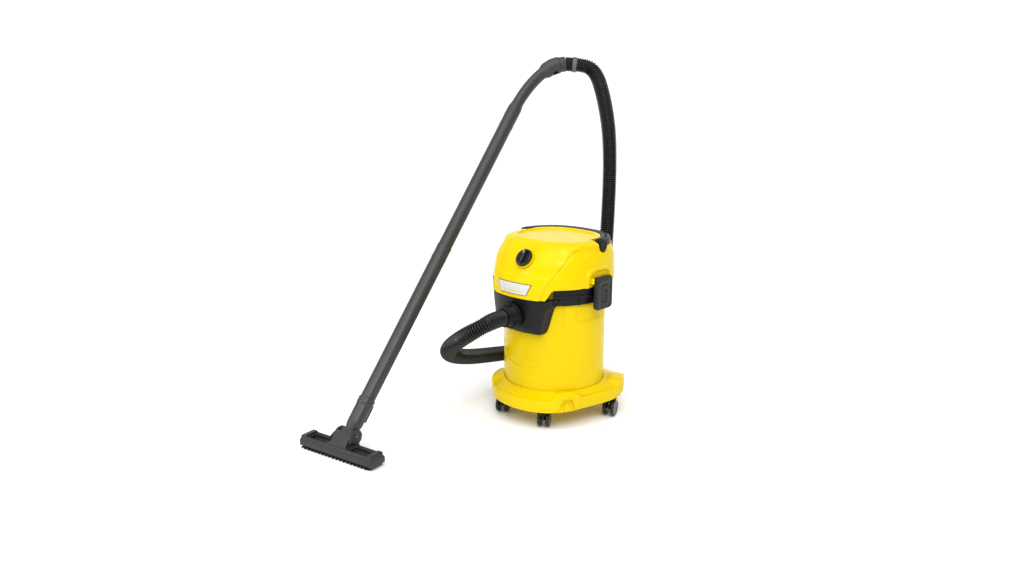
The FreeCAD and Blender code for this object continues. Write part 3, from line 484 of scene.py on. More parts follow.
def head_relief(bearing, height):
    """How far the moulded details stand out of, or into, the head's plain form."""
    turn = np.abs(bearing)
    radius = head_radius(bearing, height)
    # sunk shield round the switch
    beside = SHIELD_SIDE(height) - np.abs(bearing - SHIELD_TURN)
    reach = np.minimum(beside * radius * 0.9, height - 408)
    relief = -2.2 * ease(reach, 0, 5) * ease(480 - height, 0, 22)
    # side facet behind the crease
    behind = (turn - CREASE(height)) * radius
    relief = relief - 3.6 * ease(behind, 0, 7) * (1 - ease(behind, 25, 95)) * ease(492 - height, 0, 12)
    # arch over each latch
    along = np.abs(radius * np.cos(bearing))
    arch = ((along / 56) ** 3.2 + (np.clip(height - 379, 0, None) / 52) ** 3.2) ** (1 / 3.2)
    at_side = ease(turn, math.radians(55), math.radians(60)) * ease(math.radians(125) - turn, 0, 0.08)
    relief = relief + at_side * (5.2 * ease(1.0 - arch, 0, 0.09) - 4.4 * ease(0.79 - arch, 0, 0.06))
    # two ticks on the side facet
    for place in (72.5, 77):
        away = np.hypot((turn - math.radians(place)) * radius / 2.0, (height - 459.5) / 7.5)
        relief = relief + 1.5 * ease(1.35 - away, 0, 0.7)
    # air slots on each side of the blower port
    slots = ease(turn, math.radians(122), math.radians(124)) * ease(math.radians(154) - turn, 0, 0.035)
    slots = slots * ease(height, 396, 398) * ease(454 - height, 0, 2)
    wave = 0.5 + 0.5 * np.cos(2 * math.pi * (height - 400) / 9)
    return relief - 3.2 * slots * ease(wave, 0.35, 0.75)


def make_head_cover():
    """Yellow cover with its tray, shield, creases and the groove of the carry handle."""
    count = 576
    bearing = np.linspace(-math.pi, math.pi, count, endpoint=False)
    low = head_low(bearing)
    rows = []
    for share in np.concatenate([np.linspace(0, 1, 88, endpoint=False)]):
        height = low + (GROOVE_FLOOR - low) * share
        radius = head_radius(bearing, height) + head_relief(bearing, height)
        rows.append(polar(bearing, radius, height))
    for height in np.linspace(GROOVE_FLOOR, HEAD_TOP - 0.4, 22):
        radius = head_radius(bearing, np.full(count, height)) + head_relief(bearing, height)
        rows.append(polar(bearing, radius, height))
    tray = oval(bearing, 78, 106, 98)
    for inset, height in ((-2.6, 491.9), (-1, 491.6), (0, 490.6), (0.7, 488.4), (2, 487.3), (4.5, 487)):
        rows.append(polar(bearing, tray - inset, height))
    for share in (0.85, 0.65, 0.4, 0.15):
        rows.append(polar(bearing, (tray - 4.5) * share, 487))
    skin = np.array(rows)
    # groove, hub pockets and arm spaces of the handle
    across, along, height = np.abs(skin[..., 0]), skin[..., 1], skin[..., 2]
    inner = oval(bearing, 116.5, 116.5, 108.5)[None, :]
    sunk = (along > PIVOT_Y - 1) & (height > GROOVE_FLOOR + 0.4)
    scale = np.where(sunk, np.minimum(1, inner / np.maximum(np.hypot(across, along), 1)), 1)
    skin[..., :2] *= scale[..., None]
    pocket = np.hypot(along - PIVOT_Y, height - PIVOT_Z) < HUB + 2.5
    limit = np.where(pocket, 116.5, 999)
    arm = (along > PIVOT_Y - 20) & (along < PIVOT_Y + 26) & (height > PIVOT_Z - 1.8)
    limit = np.where(arm, 109, limit)
    skin[..., 0] = np.clip(skin[..., 0], -limit, limit)
    # thickness of the skirt that shows when the head is lifted
    wall = 3.2
    hem = [polar(bearing, head_radius(bearing, low) - inset, low + lift)
           for inset, lift in ((0.3, -0.0), (wall - 0.4, 0.0))]
    inside = [polar(bearing, head_radius(bearing, height) - wall, height)
              for height in (low + 1.2, np.maximum(low + 2, 384.0))]
    rings = inside[::-1] + hem[::-1] + list(skin)
    gridded("head_shell", rings, "head", "yellow_abs", YELLOW, ("head_cover",), 32)
    for name, side in (("right", 1), ("left", -1)):
        ears = []
        for start in (-39.5, 34.5):
            low_x, high_x = sorted((side * 145, side * 162))
            outer_end = 1.2 * np.sign(start)
            low_y, high_y = start + min(outer_end, 0), start + 5 + max(outer_end, 0)
            ears.append(rounded_box((low_x, low_y, 389), (high_x, high_y, 404), 1.8))
        joined(f"latch_ears_{name}", ears, "head", "yellow_abs", YELLOW)


KNOB_TILT = math.radians(38)
KNOB_AXIS = Vector((0, -math.cos(KNOB_TILT), math.sin(KNOB_TILT)))


def make_knob():
    place = frame_at(KNOB_POINT, KNOB_AXIS)
    rim = [(3, -27), (3, 1.3), (23.2, 1.3, 0.8), (23.4, 6.4, 1.4), (21.2, 9.3, 1.2), (18.6, 9.3, 0.8),
           (17.6, 7.6, 0.8), (3, 7.4)]
    skins = [turned_points(filleted(rim), place, 72),
             rounded_box((-21, -4.4, 6.5), (21, 4.4, 15.2), 2.2, place)]
    for turn in range(0, 360, 15):
        rib = place @ Matrix.Rotation(math.radians(turn), 4, "Z")
        skins.append(rounded_box((22.4, -0.9, 2.2), (23.9, 0.9, 7.2), 0.45, rib))
    joined("rotary_knob", skins, "knob", "black_gloss", GLOSS, ("switch_knob",))
    turned("knob_seat", [(3.4, -1.5), (27, -1.5), (27, 0.7, 0.8), (24.6, 1.0, 0.4), (24.4, 0.4), (3.4, 0.4)],
           "head", "yellow_abs", YELLOW, (), place, 72)
    joined("knob_pointer", [rounded_box((8, -0.9, 14.8), (19, 0.9, 15.7), 0.4, place)], "knob",
           "badge_grey", PLATE)


def on_head(x, z, out):
    """Point of the head's plain form at x and z, moved out along the plan's radius."""
    front = float(HEAD_FRONT(z))
    side = float(HEAD_SIDE(z))
    y = -front * (1 - (abs(x) / side) ** 2.4) ** (1 / 2.4)
    scale = 1 + out / math.hypot(x, y)
    return x * scale, y * scale, z


def make_badge():
    """Blank trapezoid badge: a dark edge, a pale face and one coloured stripe."""
    def plate(name, half_low, half_high, span, outs, material, nodes=()):
        bottom, top = span
        rings = []
        for x in np.linspace(-half_high, half_high, 61):
            past = max(abs(x) - half_low, 0) / max(half_high - half_low, 0.01)
            low = min(bottom + (top - bottom) * past, top - 0.4)
            inner = [on_head(x, z, outs[0]) for z in np.linspace(low, top, 5)]
            outer = [on_head(x, z, outs[1]) for z in np.linspace(top, low, 5)]
            rings.append(inner + outer)
        gridded(name, rings, "head", "badge_grey", material, nodes)

    plate("badge_edge", 43, 57, (362, 392), (-0.6, 1.0), DARK_EDGE, ("badge_plate",))
    plate("badge_face", 42.2, 54.6, (363.4, 390.7), (0.4, 1.4), PLATE)
    plate("badge_stripe", 31, 32, (369, 371.6), (1.0, 1.6), YELLOW)


def make_handle():
    """Bow of the carry handle round the rear of the top, with its two hubs."""
    count = 120
    first = math.pi / 2 + math.asin((PIVOT_Y - 2) / 125)
    bearing = np.linspace(first, 2 * math.pi - first, count)
    outer, inner = oval(bearing, 139.9, 139.9, 135.9), oval(bearing, 118, 118, 110)
    section = [(0.0, 2.5), (0.1, 0.4), (0.5, 0), (0.9, 0.4), (1, 2.6), (1, 7), (0.97, 12), (0.9, 15.4),
               (0.75, 17.5), (0.5, 18), (0.2, 17.6), (0.04, 15.8), (0.0, 9)]
    rings = []
    for index in range(count):
        ring = [polar(bearing[index], inner[index] + (outer[index] - inner[index]) * share,
                      PIVOT_Z - 1.5 + height) for share, height in section]
        rings.append(ring)
    skins = [np.array(rings)]
    for side in (-1, 1):
        place = frame_at((side * 117, PIVOT_Y, PIVOT_Z), (side, 0, 0))
        hub = [(4.05, 0), (HUB - 0.3, 0, 1), (HUB, 20, 1), (HUB - 0.6, 23.8, 2), (9.5, 24.2, 0.6),
               (8.8, 23, 0.6), (4.05, 23)]
        skins.append(turned_points(filleted(hub), place, 48))
    joined("handle_bow", skins, "handle", "black_plastic", BLACK, ("carry_handle",))


def make_head_fittings():
    """Blower port, cable gland and cable hook at the rear."""
    back = frame_at((0, 114, 432), (0, 1, 0))
    port = [(19, 0), (23.9, 0, 0.8), (23.9, 38), (27.8, 38.6, 1), (27.8, 41.8, 1.2), (20.4, 41.8, 0.8),
            (19, 40.4, 0.5), (19, 20), (19, 0.1)]
    tube("blower_socket", port, "head", "black_plastic", BLACK, ("blower_port",), back)
    gland = frame_at((-70, 112, 400), (0, 1, 0))
    tube("cable_grommet", [(3.6, 0), (7.9, 0, 0.8), (7.9, 26), (11, 26.6, 1), (11, 28.5, 1), (7.5, 30.5, 1),
                           (3.6, 30.5, 0.5), (3.6, 0.1)], "head", "seal_rubber", RUBBER, ("cable_gland",), gland)
    hook = [rounded_box((52, 138, 398), (68, 157, 403), 1.6), rounded_box((52, 152, 398), (68, 157, 420), 1.6)]
    melted("cable_hook_moulded", hook, [], "head", "black_plastic", BLACK, ("cable_hook",), 0.8)


def tube(name, line, body, slot, material, nodes, place, segments=64):
    """A pipe: its closed section turned round the axis."""
    ring = turned_points(filleted(line), place, segments)
    rows, cols = ring.shape[:2]
    faces = [(r * cols + c, r * cols + (c + 1) % cols, ((r + 1) % rows) * cols + (c + 1) % cols,
              ((r + 1) % rows) * cols + c) for r in range(rows) for c in range(cols)]
    return piece(name, ring.reshape(-1, 3), faces, body, slot, material, nodes)


make_head_cover()
make_knob()
make_badge()
make_handle()
make_head_fittings()


# ---------------------------------------------------------------- container and rim band
TUB, TUB_WALL, DECK, TUB_TOP = 137, 2.5, 62, 372


def tub_relief(bearing, height):
    """Sunk front panel and the step under each latch."""
    turn = np.abs(np.arctan2(np.sin(bearing), np.cos(bearing)))
    side = np.interp(height, (150, 158, 165, 173, 214, 348), np.radians((6, 12, 22, 44, 51, 52)))
    reach = np.minimum((side - turn) * TUB, height - 156)
    relief = -2.6 * ease(reach, 0, 5)
    step = ease(turn, math.radians(63), math.radians(66)) * ease(math.radians(114) - turn, 0, 0.05)
    return relief - 1.7 * step * ease(height, 283, 289)


def make_container():
    bearing = np.linspace(-math.pi, math.pi, 480, endpoint=False)
    rings = []
    outline = filleted([(0.01, DECK), (TUB - 6, DECK, 2), (TUB, DECK + 6, 3), (TUB, DECK + 14)])
    for radius, height in outline:
        rings.append(polar(bearing, radius, height))
    for height in np.arange(DECK + 16, TUB_TOP, 2.5):
        rings.append(polar(bearing, TUB - 0.1 + tub_relief(bearing, height), height))
    for radius, height in ((TUB - 0.1, TUB_TOP - 0.3), (TUB - TUB_WALL - 2, TUB_TOP - 0.3),
                           (TUB - TUB_WALL - 2, DECK + 9), (TUB - 9, DECK + TUB_WALL), (0.01, DECK + TUB_WALL)):
        rings.append(polar(bearing, radius, height))
    tub = gridded("container_shell", rings, "base", "yellow_abs", YELLOW, ("container_tub",), 32)
    port = gridded("port_cut", turned_points([(26, 0), (26, 60)], frame_at((0, -110, 305), (0, -1, 0))),
                   "base", "yellow_abs", YELLOW)
    bore = tub.modifiers.new("port", "BOOLEAN")
    bore.object = port
    bore.solver = "EXACT"
    mesh = applied(tub)
    tub.modifiers.clear()
    tub.data = mesh
    bpy.data.objects.remove(port)
    mesh.polygons.foreach_set("use_smooth", [True] * len(mesh.polygons))
    mesh.set_sharp_from_angle(angle=math.radians(32))


def make_band():
    """Black band round the rim: a proud upper lip over a sunk lower face, open at the front."""
    start = math.asin(92.4 / 148)
    bearing = np.linspace(start, 2 * math.pi - start, 420)
    section = filleted([(138.2, 355), (137.1, 340), (137.1, 333.1), (141.6, 333.1, 0.8), (144.6, 334.4, 1.4),
                        (144.7, 350.8, 0.6), (149.8, 354.6, 1.4), (149.8, 361.5, 0.4), (148.7, 362.2, 0.3),
                        (148.7, 363.6, 0.3), (149.8, 364.3, 0.4), (149.8, 376.8, 1.6), (133, 376.8, 0.5),
                        (133, 372.3), (138, 372.3), (138.2, 355)], 4)[:-1]
    rings = []
    for angle in bearing:
        rings.append([(r * math.sin(angle), -r * math.cos(angle), h) for r, h in section])
    skins = [np.array(rings)]
    for side in (-1, 1):
        for degrees in (66, 118, 142, 166):
            angle = side * math.radians(degrees)
            place = frame_at((143.5 * math.sin(angle), -143.5 * math.cos(angle), 334),
                             (math.sin(angle), -math.cos(angle), 0))
            skins.append(rounded_box((-0.6, -1.3, -1), (19.5, 1.3, 3.2), 0.7, place))
        angle = side * math.radians(43.5)
        place = frame_at((143 * math.sin(angle), -143 * math.cos(angle), 343),
                         (math.sin(angle), -math.cos(angle), 0), (side * 0.5, side * 0.5, 1))
        skins.append(rounded_box((-10, -1.6, -1), (12, 1.6, 4.6), 1, place))
        low, high = sorted((side * 140, side * 152))
        skins.append(rounded_box((low, -20, 343), (high, 20, 348), 1.2))
    joined("rim_band_moulded", skins, "base", "black_plastic", BLACK, ("rim_band",), 35)


# ---------------------------------------------------------------- inlet
HOUSING_FRONT = spline((244, 262, 300, 350), (140, 155, 163, 167))
HOUSING_SIDE = spline((244, 262, 300, 350), (143, 146, 150, 151))


def make_housing():
    """Black housing with a curved lower edge and rounded rims, bored for the socket."""
    across, levels = 97, 57
    top = 350.0
    rows = []
    for share in np.linspace(0, 1, levels):
        row = []
        for u in np.linspace(-1, 1, across):
            half_here = 92.2
            x = u * half_here
            low = 258 + 74 * ease(abs(x), 66, 92.2) ** 1.5 * 0.98 - 1.5 * (1 - (x / 92) ** 2)
            row.append((x, low + (top - low) * share))
        rows.append(row)
    flat = np.array(rows)
    x, z = flat[..., 0], flat[..., 1]
    side_half = np.interp(z, (257, 262, 294, 332, 350), (76, 79, 88, 92.2, 92.2))
    x = np.where(np.abs(x) > side_half, np.sign(x) * side_half, x)
    front = HOUSING_FRONT(z) * (1 - (np.abs(x) / HOUSING_SIDE(z)) ** 2.4) ** (1 / 2.4)
    edge = np.minimum(side_half - np.abs(x), z - flat[0:1, :, 1])
    round_off = 5 * (1 - np.sqrt(np.clip(1 - (1 - np.clip(edge / 6, 0, 1)) ** 2, 0, 1)))
    back = np.sqrt((TUB + 0.15) ** 2 - x ** 2)
    skin = np.stack([x, -np.maximum(front - round_off, back + 0.4), z], -1)
    rear = np.stack([x, -back, z], -1)
    count = across * levels
    faces = []
    for layer, flip in ((0, False), (count, True)):
        for row in range(levels - 1):
            for col in range(across - 1):
                a = layer + row * across + col
                quad = (a, a + 1, a + across + 1, a + across)
                faces.append(quad[::-1] if flip else quad)
    rim = [col for col in range(across)] + [row * across + across - 1 for row in range(1, levels)]
    rim += [(levels - 1) * across + col for col in range(across - 2, -1, -1)]
    rim += [row * across for row in range(levels - 2, 0, -1)]
    for a, b in zip(rim, rim[1:] + rim[:1]):
        faces.append((a, b, b + count, a + count))
    points = np.concatenate([skin.reshape(-1, 3), rear.reshape(-1, 3)])
    housing = piece("inlet_housing_shell", points, faces, "base", "black_plastic", BLACK,
                    ("inlet_housing",), 38)
    bore = gridded("housing_bore", turned_points([(26.05, 0), (26.05, 120)],
                                                 frame_at((0, -100, 305), (0, -1, 0))),
                   "base", "black_plastic", BLACK)
    cut = housing.modifiers.new("bore", "BOOLEAN")
    cut.object = bore
    cut.solver = "EXACT"
    mesh = applied(housing)
    housing.modifiers.clear()
    housing.data = mesh
    bpy.data.objects.remove(bore)
    mesh.polygons.foreach_set("use_smooth", [True] * len(mesh.polygons))
    mesh.set_sharp_from_angle(angle=math.radians(38))
    place = frame_at((0, -131, 305), (0, -1, 0))
    tube("socket_ring", [(24.1, 0.2), (25.9, 0.2), (25.9, 36.4), (33.8, 36.6, 0.8), (33.8, 40.9, 1.4),
                         (25.5, 40.9, 0.8), (24.1, 39.6, 0.4), (24.1, 20)],
         "base", "black_plastic", BLACK, ("inlet_collar",), place)


# ---------------------------------------------------------------- base and casters
SKIRT_LOW, SKIRT_HIGH, CUP_TOP = 51, 84, 101


def skirt(bearing):
    return (173.9 + 6.5 * np.cos(2 * bearing) - 8.4 * np.cos(4 * bearing) - 8 * np.cos(bearing)
            + 10 * np.cos(3 * bearing))


def make_chassis():
    """Skirt with lobes, its arch niches, the sloped top and the cup of the container."""
    bearing = np.linspace(-math.pi, math.pi, 540, endpoint=False)
    outer = skirt(bearing)

    def level(radius, height):
        return polar(bearing, np.broadcast_to(radius, outer.shape), height)

    def lobes(reach, fade):
        """1 over each caster housing, 0 between them."""
        total = 0
        for degrees in (53, -53, 127, -127):
            total = total + ease(reach - from_lobe(degrees), 0, fade)
        return total

    def from_lobe(degrees):
        return np.abs(np.angle(np.exp(1j * (bearing - math.radians(degrees))))) * outer

    wall_top = SKIRT_HIGH + 13 * lobes(50, 26)

    def face(height):
        relief = -0.9 * ease(SKIRT_LOW + 9 - height, 0, 1.2) + 3.5 * lobes(50, 20) * ease(height, SKIRT_LOW, SKIRT_LOW + 9)
        for degrees in (53, -53, 127, -127):
            away, rise = from_lobe(degrees), np.maximum(height - SKIRT_LOW, 0)
            relief = relief - 7 * ease(1 - (away / 21) ** 2.6 - (rise / 36) ** 2.6, 0, 0.2)
            relief = relief + 6 * ease(1 - (away / 9) ** 2.6 - (rise / 26) ** 2.6, 0, 0.25)
        return outer - 3 + relief

    def roof(share):
        """The sloped top, flatter over the caster housings."""
        fall = share ** 1.15
        return polar(bearing, (outer - 4.5) * (1 - share) + 141.2 * share,
                     (wall_top + 1.4) * (1 - fall) + CUP_TOP * fall + 3 * lobes(50, 24) * ease(share, 0, 0.3) * ease(0.95 - share, 0, 0.5))

    rings = [level(0.01, 58), level(137.4, 58), level(137.4, SKIRT_LOW + 0.2), level(140.2, SKIRT_LOW + 0.2),
             level(140.2, SKIRT_HIGH - 4), level(outer - 12, SKIRT_HIGH - 4), level(outer - 6.6, SKIRT_HIGH - 6),
             level(outer - 6.2, SKIRT_LOW + 2), level(outer - 6, SKIRT_LOW + 0.1),
             level(outer - 4.6, SKIRT_LOW + 0.1)]
    for share in np.linspace(0, 1, 40):
        height = SKIRT_LOW + 0.8 + (wall_top - 3.2 - SKIRT_LOW) * share
        rings.append(polar(bearing, face(height), height))
    top = face(wall_top - 2.4)
    for t in np.linspace(0.1, math.pi / 2, 6):
        rings.append(polar(bearing, top - 4 * (1 - math.cos(t)), wall_top - 2.4 + 3.6 * math.sin(t)))
    rings += [roof(share) for share in np.linspace(0.07, 0.95, 16)]
    rings += [level(140.4, CUP_TOP - 0.3), level(138.4, CUP_TOP - 0.1), level(137.4, CUP_TOP - 1.2),
              level(137.3, DECK + 0.1), level(0.01, DECK + 0.1)]
    gridded("base_skirt", rings, "base", "yellow_abs", YELLOW, ("chassis_base",), 34)


CASTERS = {"front_right": (76, -132, 120), "front_left": (-76, -132, 116),
           "rear_right": (143, 84, -73), "rear_left": (-143, 84, 62)}
TRAIL, WHEEL = 20, 22.5


def make_casters():
    for name, (x, y, degrees) in CASTERS.items():
        place = Matrix.Translation((x, y, 0)) @ Matrix.Rotation(math.radians(degrees), 4, "Z")
        wheels = []
        for side in (-1, 1):
            hub = place @ frame_at((TRAIL, side * 6, WHEEL), (0, side, 0))
            wheels.append(turned_points(filleted([
                (2, 0), (20.5, 0, 0.8), (WHEEL, 1.4, 1.5), (WHEEL, 8, 2.4), (20.2, 9.9, 0.8), (18.6, 9.9, 0.5),
                (18, 9.3, 0.4), (17.4, 9.4, 0.4), (15, 9.9, 1), (6.4, 9.9, 0.6), (5.8, 9.2, 0.4), (2, 9.2)]),
                hub, 56))
        wheels.append(turned_points([(2.9, -6.2), (2.9, 6.2)], place @ frame_at((TRAIL, 0, WHEEL), (0, 1, 0)), 24))
        joined(f"twin_wheel_{name}", wheels, f"wheels_{name}", "black_gloss", GLOSS,
               (f"caster_wheels_{name}",))
        fork = [turned_points(filleted([(2, 39.1), (9.6, 39.1, 0.6), (10.9, 40.4, 1), (10.9, 44.8, 0.5),
                                        (4, 45, 0.3), (4, 68.5, 0.8), (2, 68.9)]), place, 40),
                rounded_box((-2.8, -3.3, 27), (10, 3.3, 42.4), 1.2, place)]
        around = [(TRAIL + 6.6 * math.cos(t), WHEEL + 6.6 * math.sin(t))
                  for t in np.linspace(-2.4, 2.2, 16)]
        outline = [(-2.5, 41), (-2.5, 30)] + around + [(9, 41)]
        fork.append(moved([[(px, y_side, pz) for px, pz in outline] for y_side in (-3.3, 3.3)], place))
        joined(f"fork_moulded_{name}", fork, f"fork_{name}", "black_plastic", BLACK,
               (f"caster_fork_{name}",))


# ---------------------------------------------------------------- latches
def make_latches():
    """Rounded clamps with a raised tab, a sunk panel and a rounded lower end."""
    for name, side in (("right", 1), ("left", -1)):
        place = Matrix.Diagonal((side, 1, 1, 1))
        outline = [(32.6, 318.4, 13), (32.6, 396.5, 4), (27.5, 404.6, 3), (-27.5, 404.6, 3),
                   (-32.6, 396.5, 4), (-32.6, 318.4, 13)]
        ring = np.array(filleted(outline + outline[:2], 6)[1:-1])
        centre = np.array((0, 361.5))
        rings = []
        for x, inset in ((155.4, 2), (156.6, 0.5), (157.6, 0), (166.0, 0), (168.6, 0.9), (169.8, 2.4),
                         (170.3, 4.6), (170.4, 6.8), (169.4, 8.8), (169.2, 14), (169.4, 28)):
            span = ring - centre
            flat = centre + span * (1 - inset / np.maximum(np.abs(span).max(0), 1))
            rings.append([(side * x, y, z) for y, z in flat])
        skins = [np.array(rings),
                 rounded_box((158, -13, 328), (170.9, 13, 384), 2.6, place),
                 rounded_box((158, -25.5, 387), (170.8, 25.5, 399), 2.4, place)]
        holes = [rounded_box((167.6, -8, 336), (176, 8, 372), 3.6, place),
                 rounded_box((148, -27, 348), (162.4, 27, 388), 2, place),
                 turned_points([(2.56, 0), (2.56, 80)], frame_at((side * 158, -40, 397), (0, 1, 0)), 24),
                 rounded_box((148, -35, 398.5), (155, 35, 418.5), 0.4, place)]
        melted(f"latch_moulded_{name}", skins, holes, f"latch_{name}", "grey_plastic", LATCH,
               (f"latch_{name}",), 0.6, 3)


# ---------------------------------------------------------------- wand
WAND_PLACE = Matrix.Translation(ELBOW) @ Matrix.Rotation(HEADING, 4, "Z") @ Matrix.Rotation(-TILT, 4, "X")
NOZZLE_PLACE = Matrix.Translation((ELBOW.x, ELBOW.y, 0)) @ Matrix.Rotation(HEADING, 4, "Z")


def make_tubes():
    for index, (name, node) in enumerate((("lower", "lower_tube"), ("upper", "upper_tube"))):
        start = NECK_LENGTH + index * TUBE_PITCH
        end = start + TUBE_PITCH
        line = [(16.6, start - 31.8), (18.3, start - 31.8, 1), (18.4, start + 0.1), (18.9, start + 0.1, 0.5),
                (19.2, start + 3, 1), (20.1, end - 46, 2), (20.65, end - 42, 1), (20.65, end - 36, 0.8),
                (20.2, end - 35, 0.5), (20.2, end - 8, 0.5), (20.65, end - 7, 0.8), (20.65, end - 0.4, 1.0),
                (18.7, end - 0.4, 0.6), (18.7, end - 33, 0.3), (16.6, end - 33.2)]
        tube(f"{name}_wand", line, "wand", "grey_plastic", TUBES, (node,), WAND_PLACE, 72)


def make_neck():
    throat = [(14.6, 20), (15.6, 6, 1), (20.4, 32, 3), (20.4, NECK_LENGTH - 21, 1), (21.9, NECK_LENGTH - 16, 1.5),
              (21.9, NECK_LENGTH - 11, 0.8), (21.2, NECK_LENGTH - 10, 0.4), (21.2, NECK_LENGTH - 6, 0.4),
              (21.9, NECK_LENGTH - 5, 0.8), (21.9, NECK_LENGTH - 0.5, 1.2), (18.7, NECK_LENGTH - 0.5, 0.5),
              (18.7, NECK_LENGTH - 33, 0.5), (14.6, NECK_LENGTH - 33.5)]
    tube("neck_moulded", throat, "wand", "grey_plastic", TUBES, ("nozzle_neck",), WAND_PLACE, 72)
    barrel = [(4.1, -17.9), (17.6, -17.9, 1.4), (19.9, -15.6, 1.6), (19.9, 15.6, 1.6), (17.6, 17.9, 1.4), (4.1, 17.9)]
    tube("neck_barrel", barrel, "wand", "grey_plastic", TUBES, (), WAND_PLACE @ frame_at((0, 0, 0), (1, 0, 0)), 56)
    clip = [rounded_box((-7, 20.6, NECK_LENGTH - 14), (7, 29, NECK_LENGTH - 8), 1.2, WAND_PLACE),
            rounded_box((-7, 26, NECK_LENGTH - 54), (7, 29, NECK_LENGTH - 8), 1.2, WAND_PLACE),
            rounded_box((-7, 24.8, NECK_LENGTH - 54), (7, 29, NECK_LENGTH - 50), 1.2, WAND_PLACE)]
    melted("parking_clip_moulded", clip, [], "wand", "black_plastic", BLACK, ("parking_clip",), 0.7)


UNDER = WAND.cross(CUFF).cross(CUFF).normalized()
BUTTON_SEAT = GRIP_END - CUFF * 26


def make_grip():
    """Curved grip with a thicker socket end, and its trigger button in a pocket."""
    stations = ((0, 0), (42, 0), (92, 5), (140, 16), (180, 34), (203, 56), (210, 81))
    line, along = evenly(smooth_route([GRIP_START + WAND * a + CUFF * b for a, b in stations]), 1.5)
    length = along[-1]

    def radius_at(index, angles):
        place = along[index]
        collar = 1 - ease(place, 26, 28) + ease(place, length - 47, length - 43)
        groove = ease(place, 6, 6.6) * (1 - ease(place, 7.6, 8.2)) + \
            ease(place, length - 9, length - 8.4) * (1 - ease(place, length - 7.4, length - 6.8))
        waist = 2.4 * ease(place, 28, 50) * (1 - ease(place, length - 90, length - 46))
        squash = 1 - 0.045 * np.cos(2 * angles) * ease(place, 30, 70) * (1 - ease(place, length - 80, length - 46))
        ends = 1.2 * (1 - ease(place, 0, 1.6)) + 1.2 * ease(place, length - 1.6, length)
        bulge = 4.6 * ease(place, length - 82, length - 62) - 2.4 * ease(place, length - 22, length - 16)
        return (20.3 + bulge - waist - 0.9 * (1 - collar) - 0.8 * groove - ends) * squash

    grip = sweep(line, radius_at, 72)
    spigot = turned_points(filleted([(16.5, -31.8), (18.3, -31.8, 1), (18.3, 4), (16.5, 4)]),
                           frame_at(GRIP_START, WAND), 64)
    pocket = turned_points([(7.15, 13), (7.15, 40)], frame_at(BUTTON_SEAT, UNDER), 48)
    bore = turned_points([(16.6, -8), (16.6, 20)], frame_at(GRIP_END, CUFF), 56)
    solid = piece("grip_raw", *merged([grip]), "wand", "grey_plastic", GREY)
    for hole in (pocket, bore):
        tool = piece("grip_tool", *merged([hole]), "wand", "grey_plastic", GREY)
        cut = solid.modifiers.new("cut", "BOOLEAN")
        cut.object = tool
        cut.solver = "EXACT"
        solid.data = applied(solid)
        solid.modifiers.clear()
        bpy.data.objects.remove(tool)
    mesh = solid.data.copy()
    bpy.data.objects.remove(solid)
    finished("grip_moulded", mesh, "wand", TUBES, ("grip_handle",), 38)
    joined("grip_spigot", [spigot], "wand", "grey_plastic", GREY)
    button = filleted([(2, 15.1), (6.9, 15.1), (6.9, 27.2, 1.2), (5.6, 29.4, 1), (2, 29)])
    turned("trigger_button", button, "button", "black_gloss", GLOSS, ("release_button",),
           frame_at(BUTTON_SEAT, UNDER), 48)


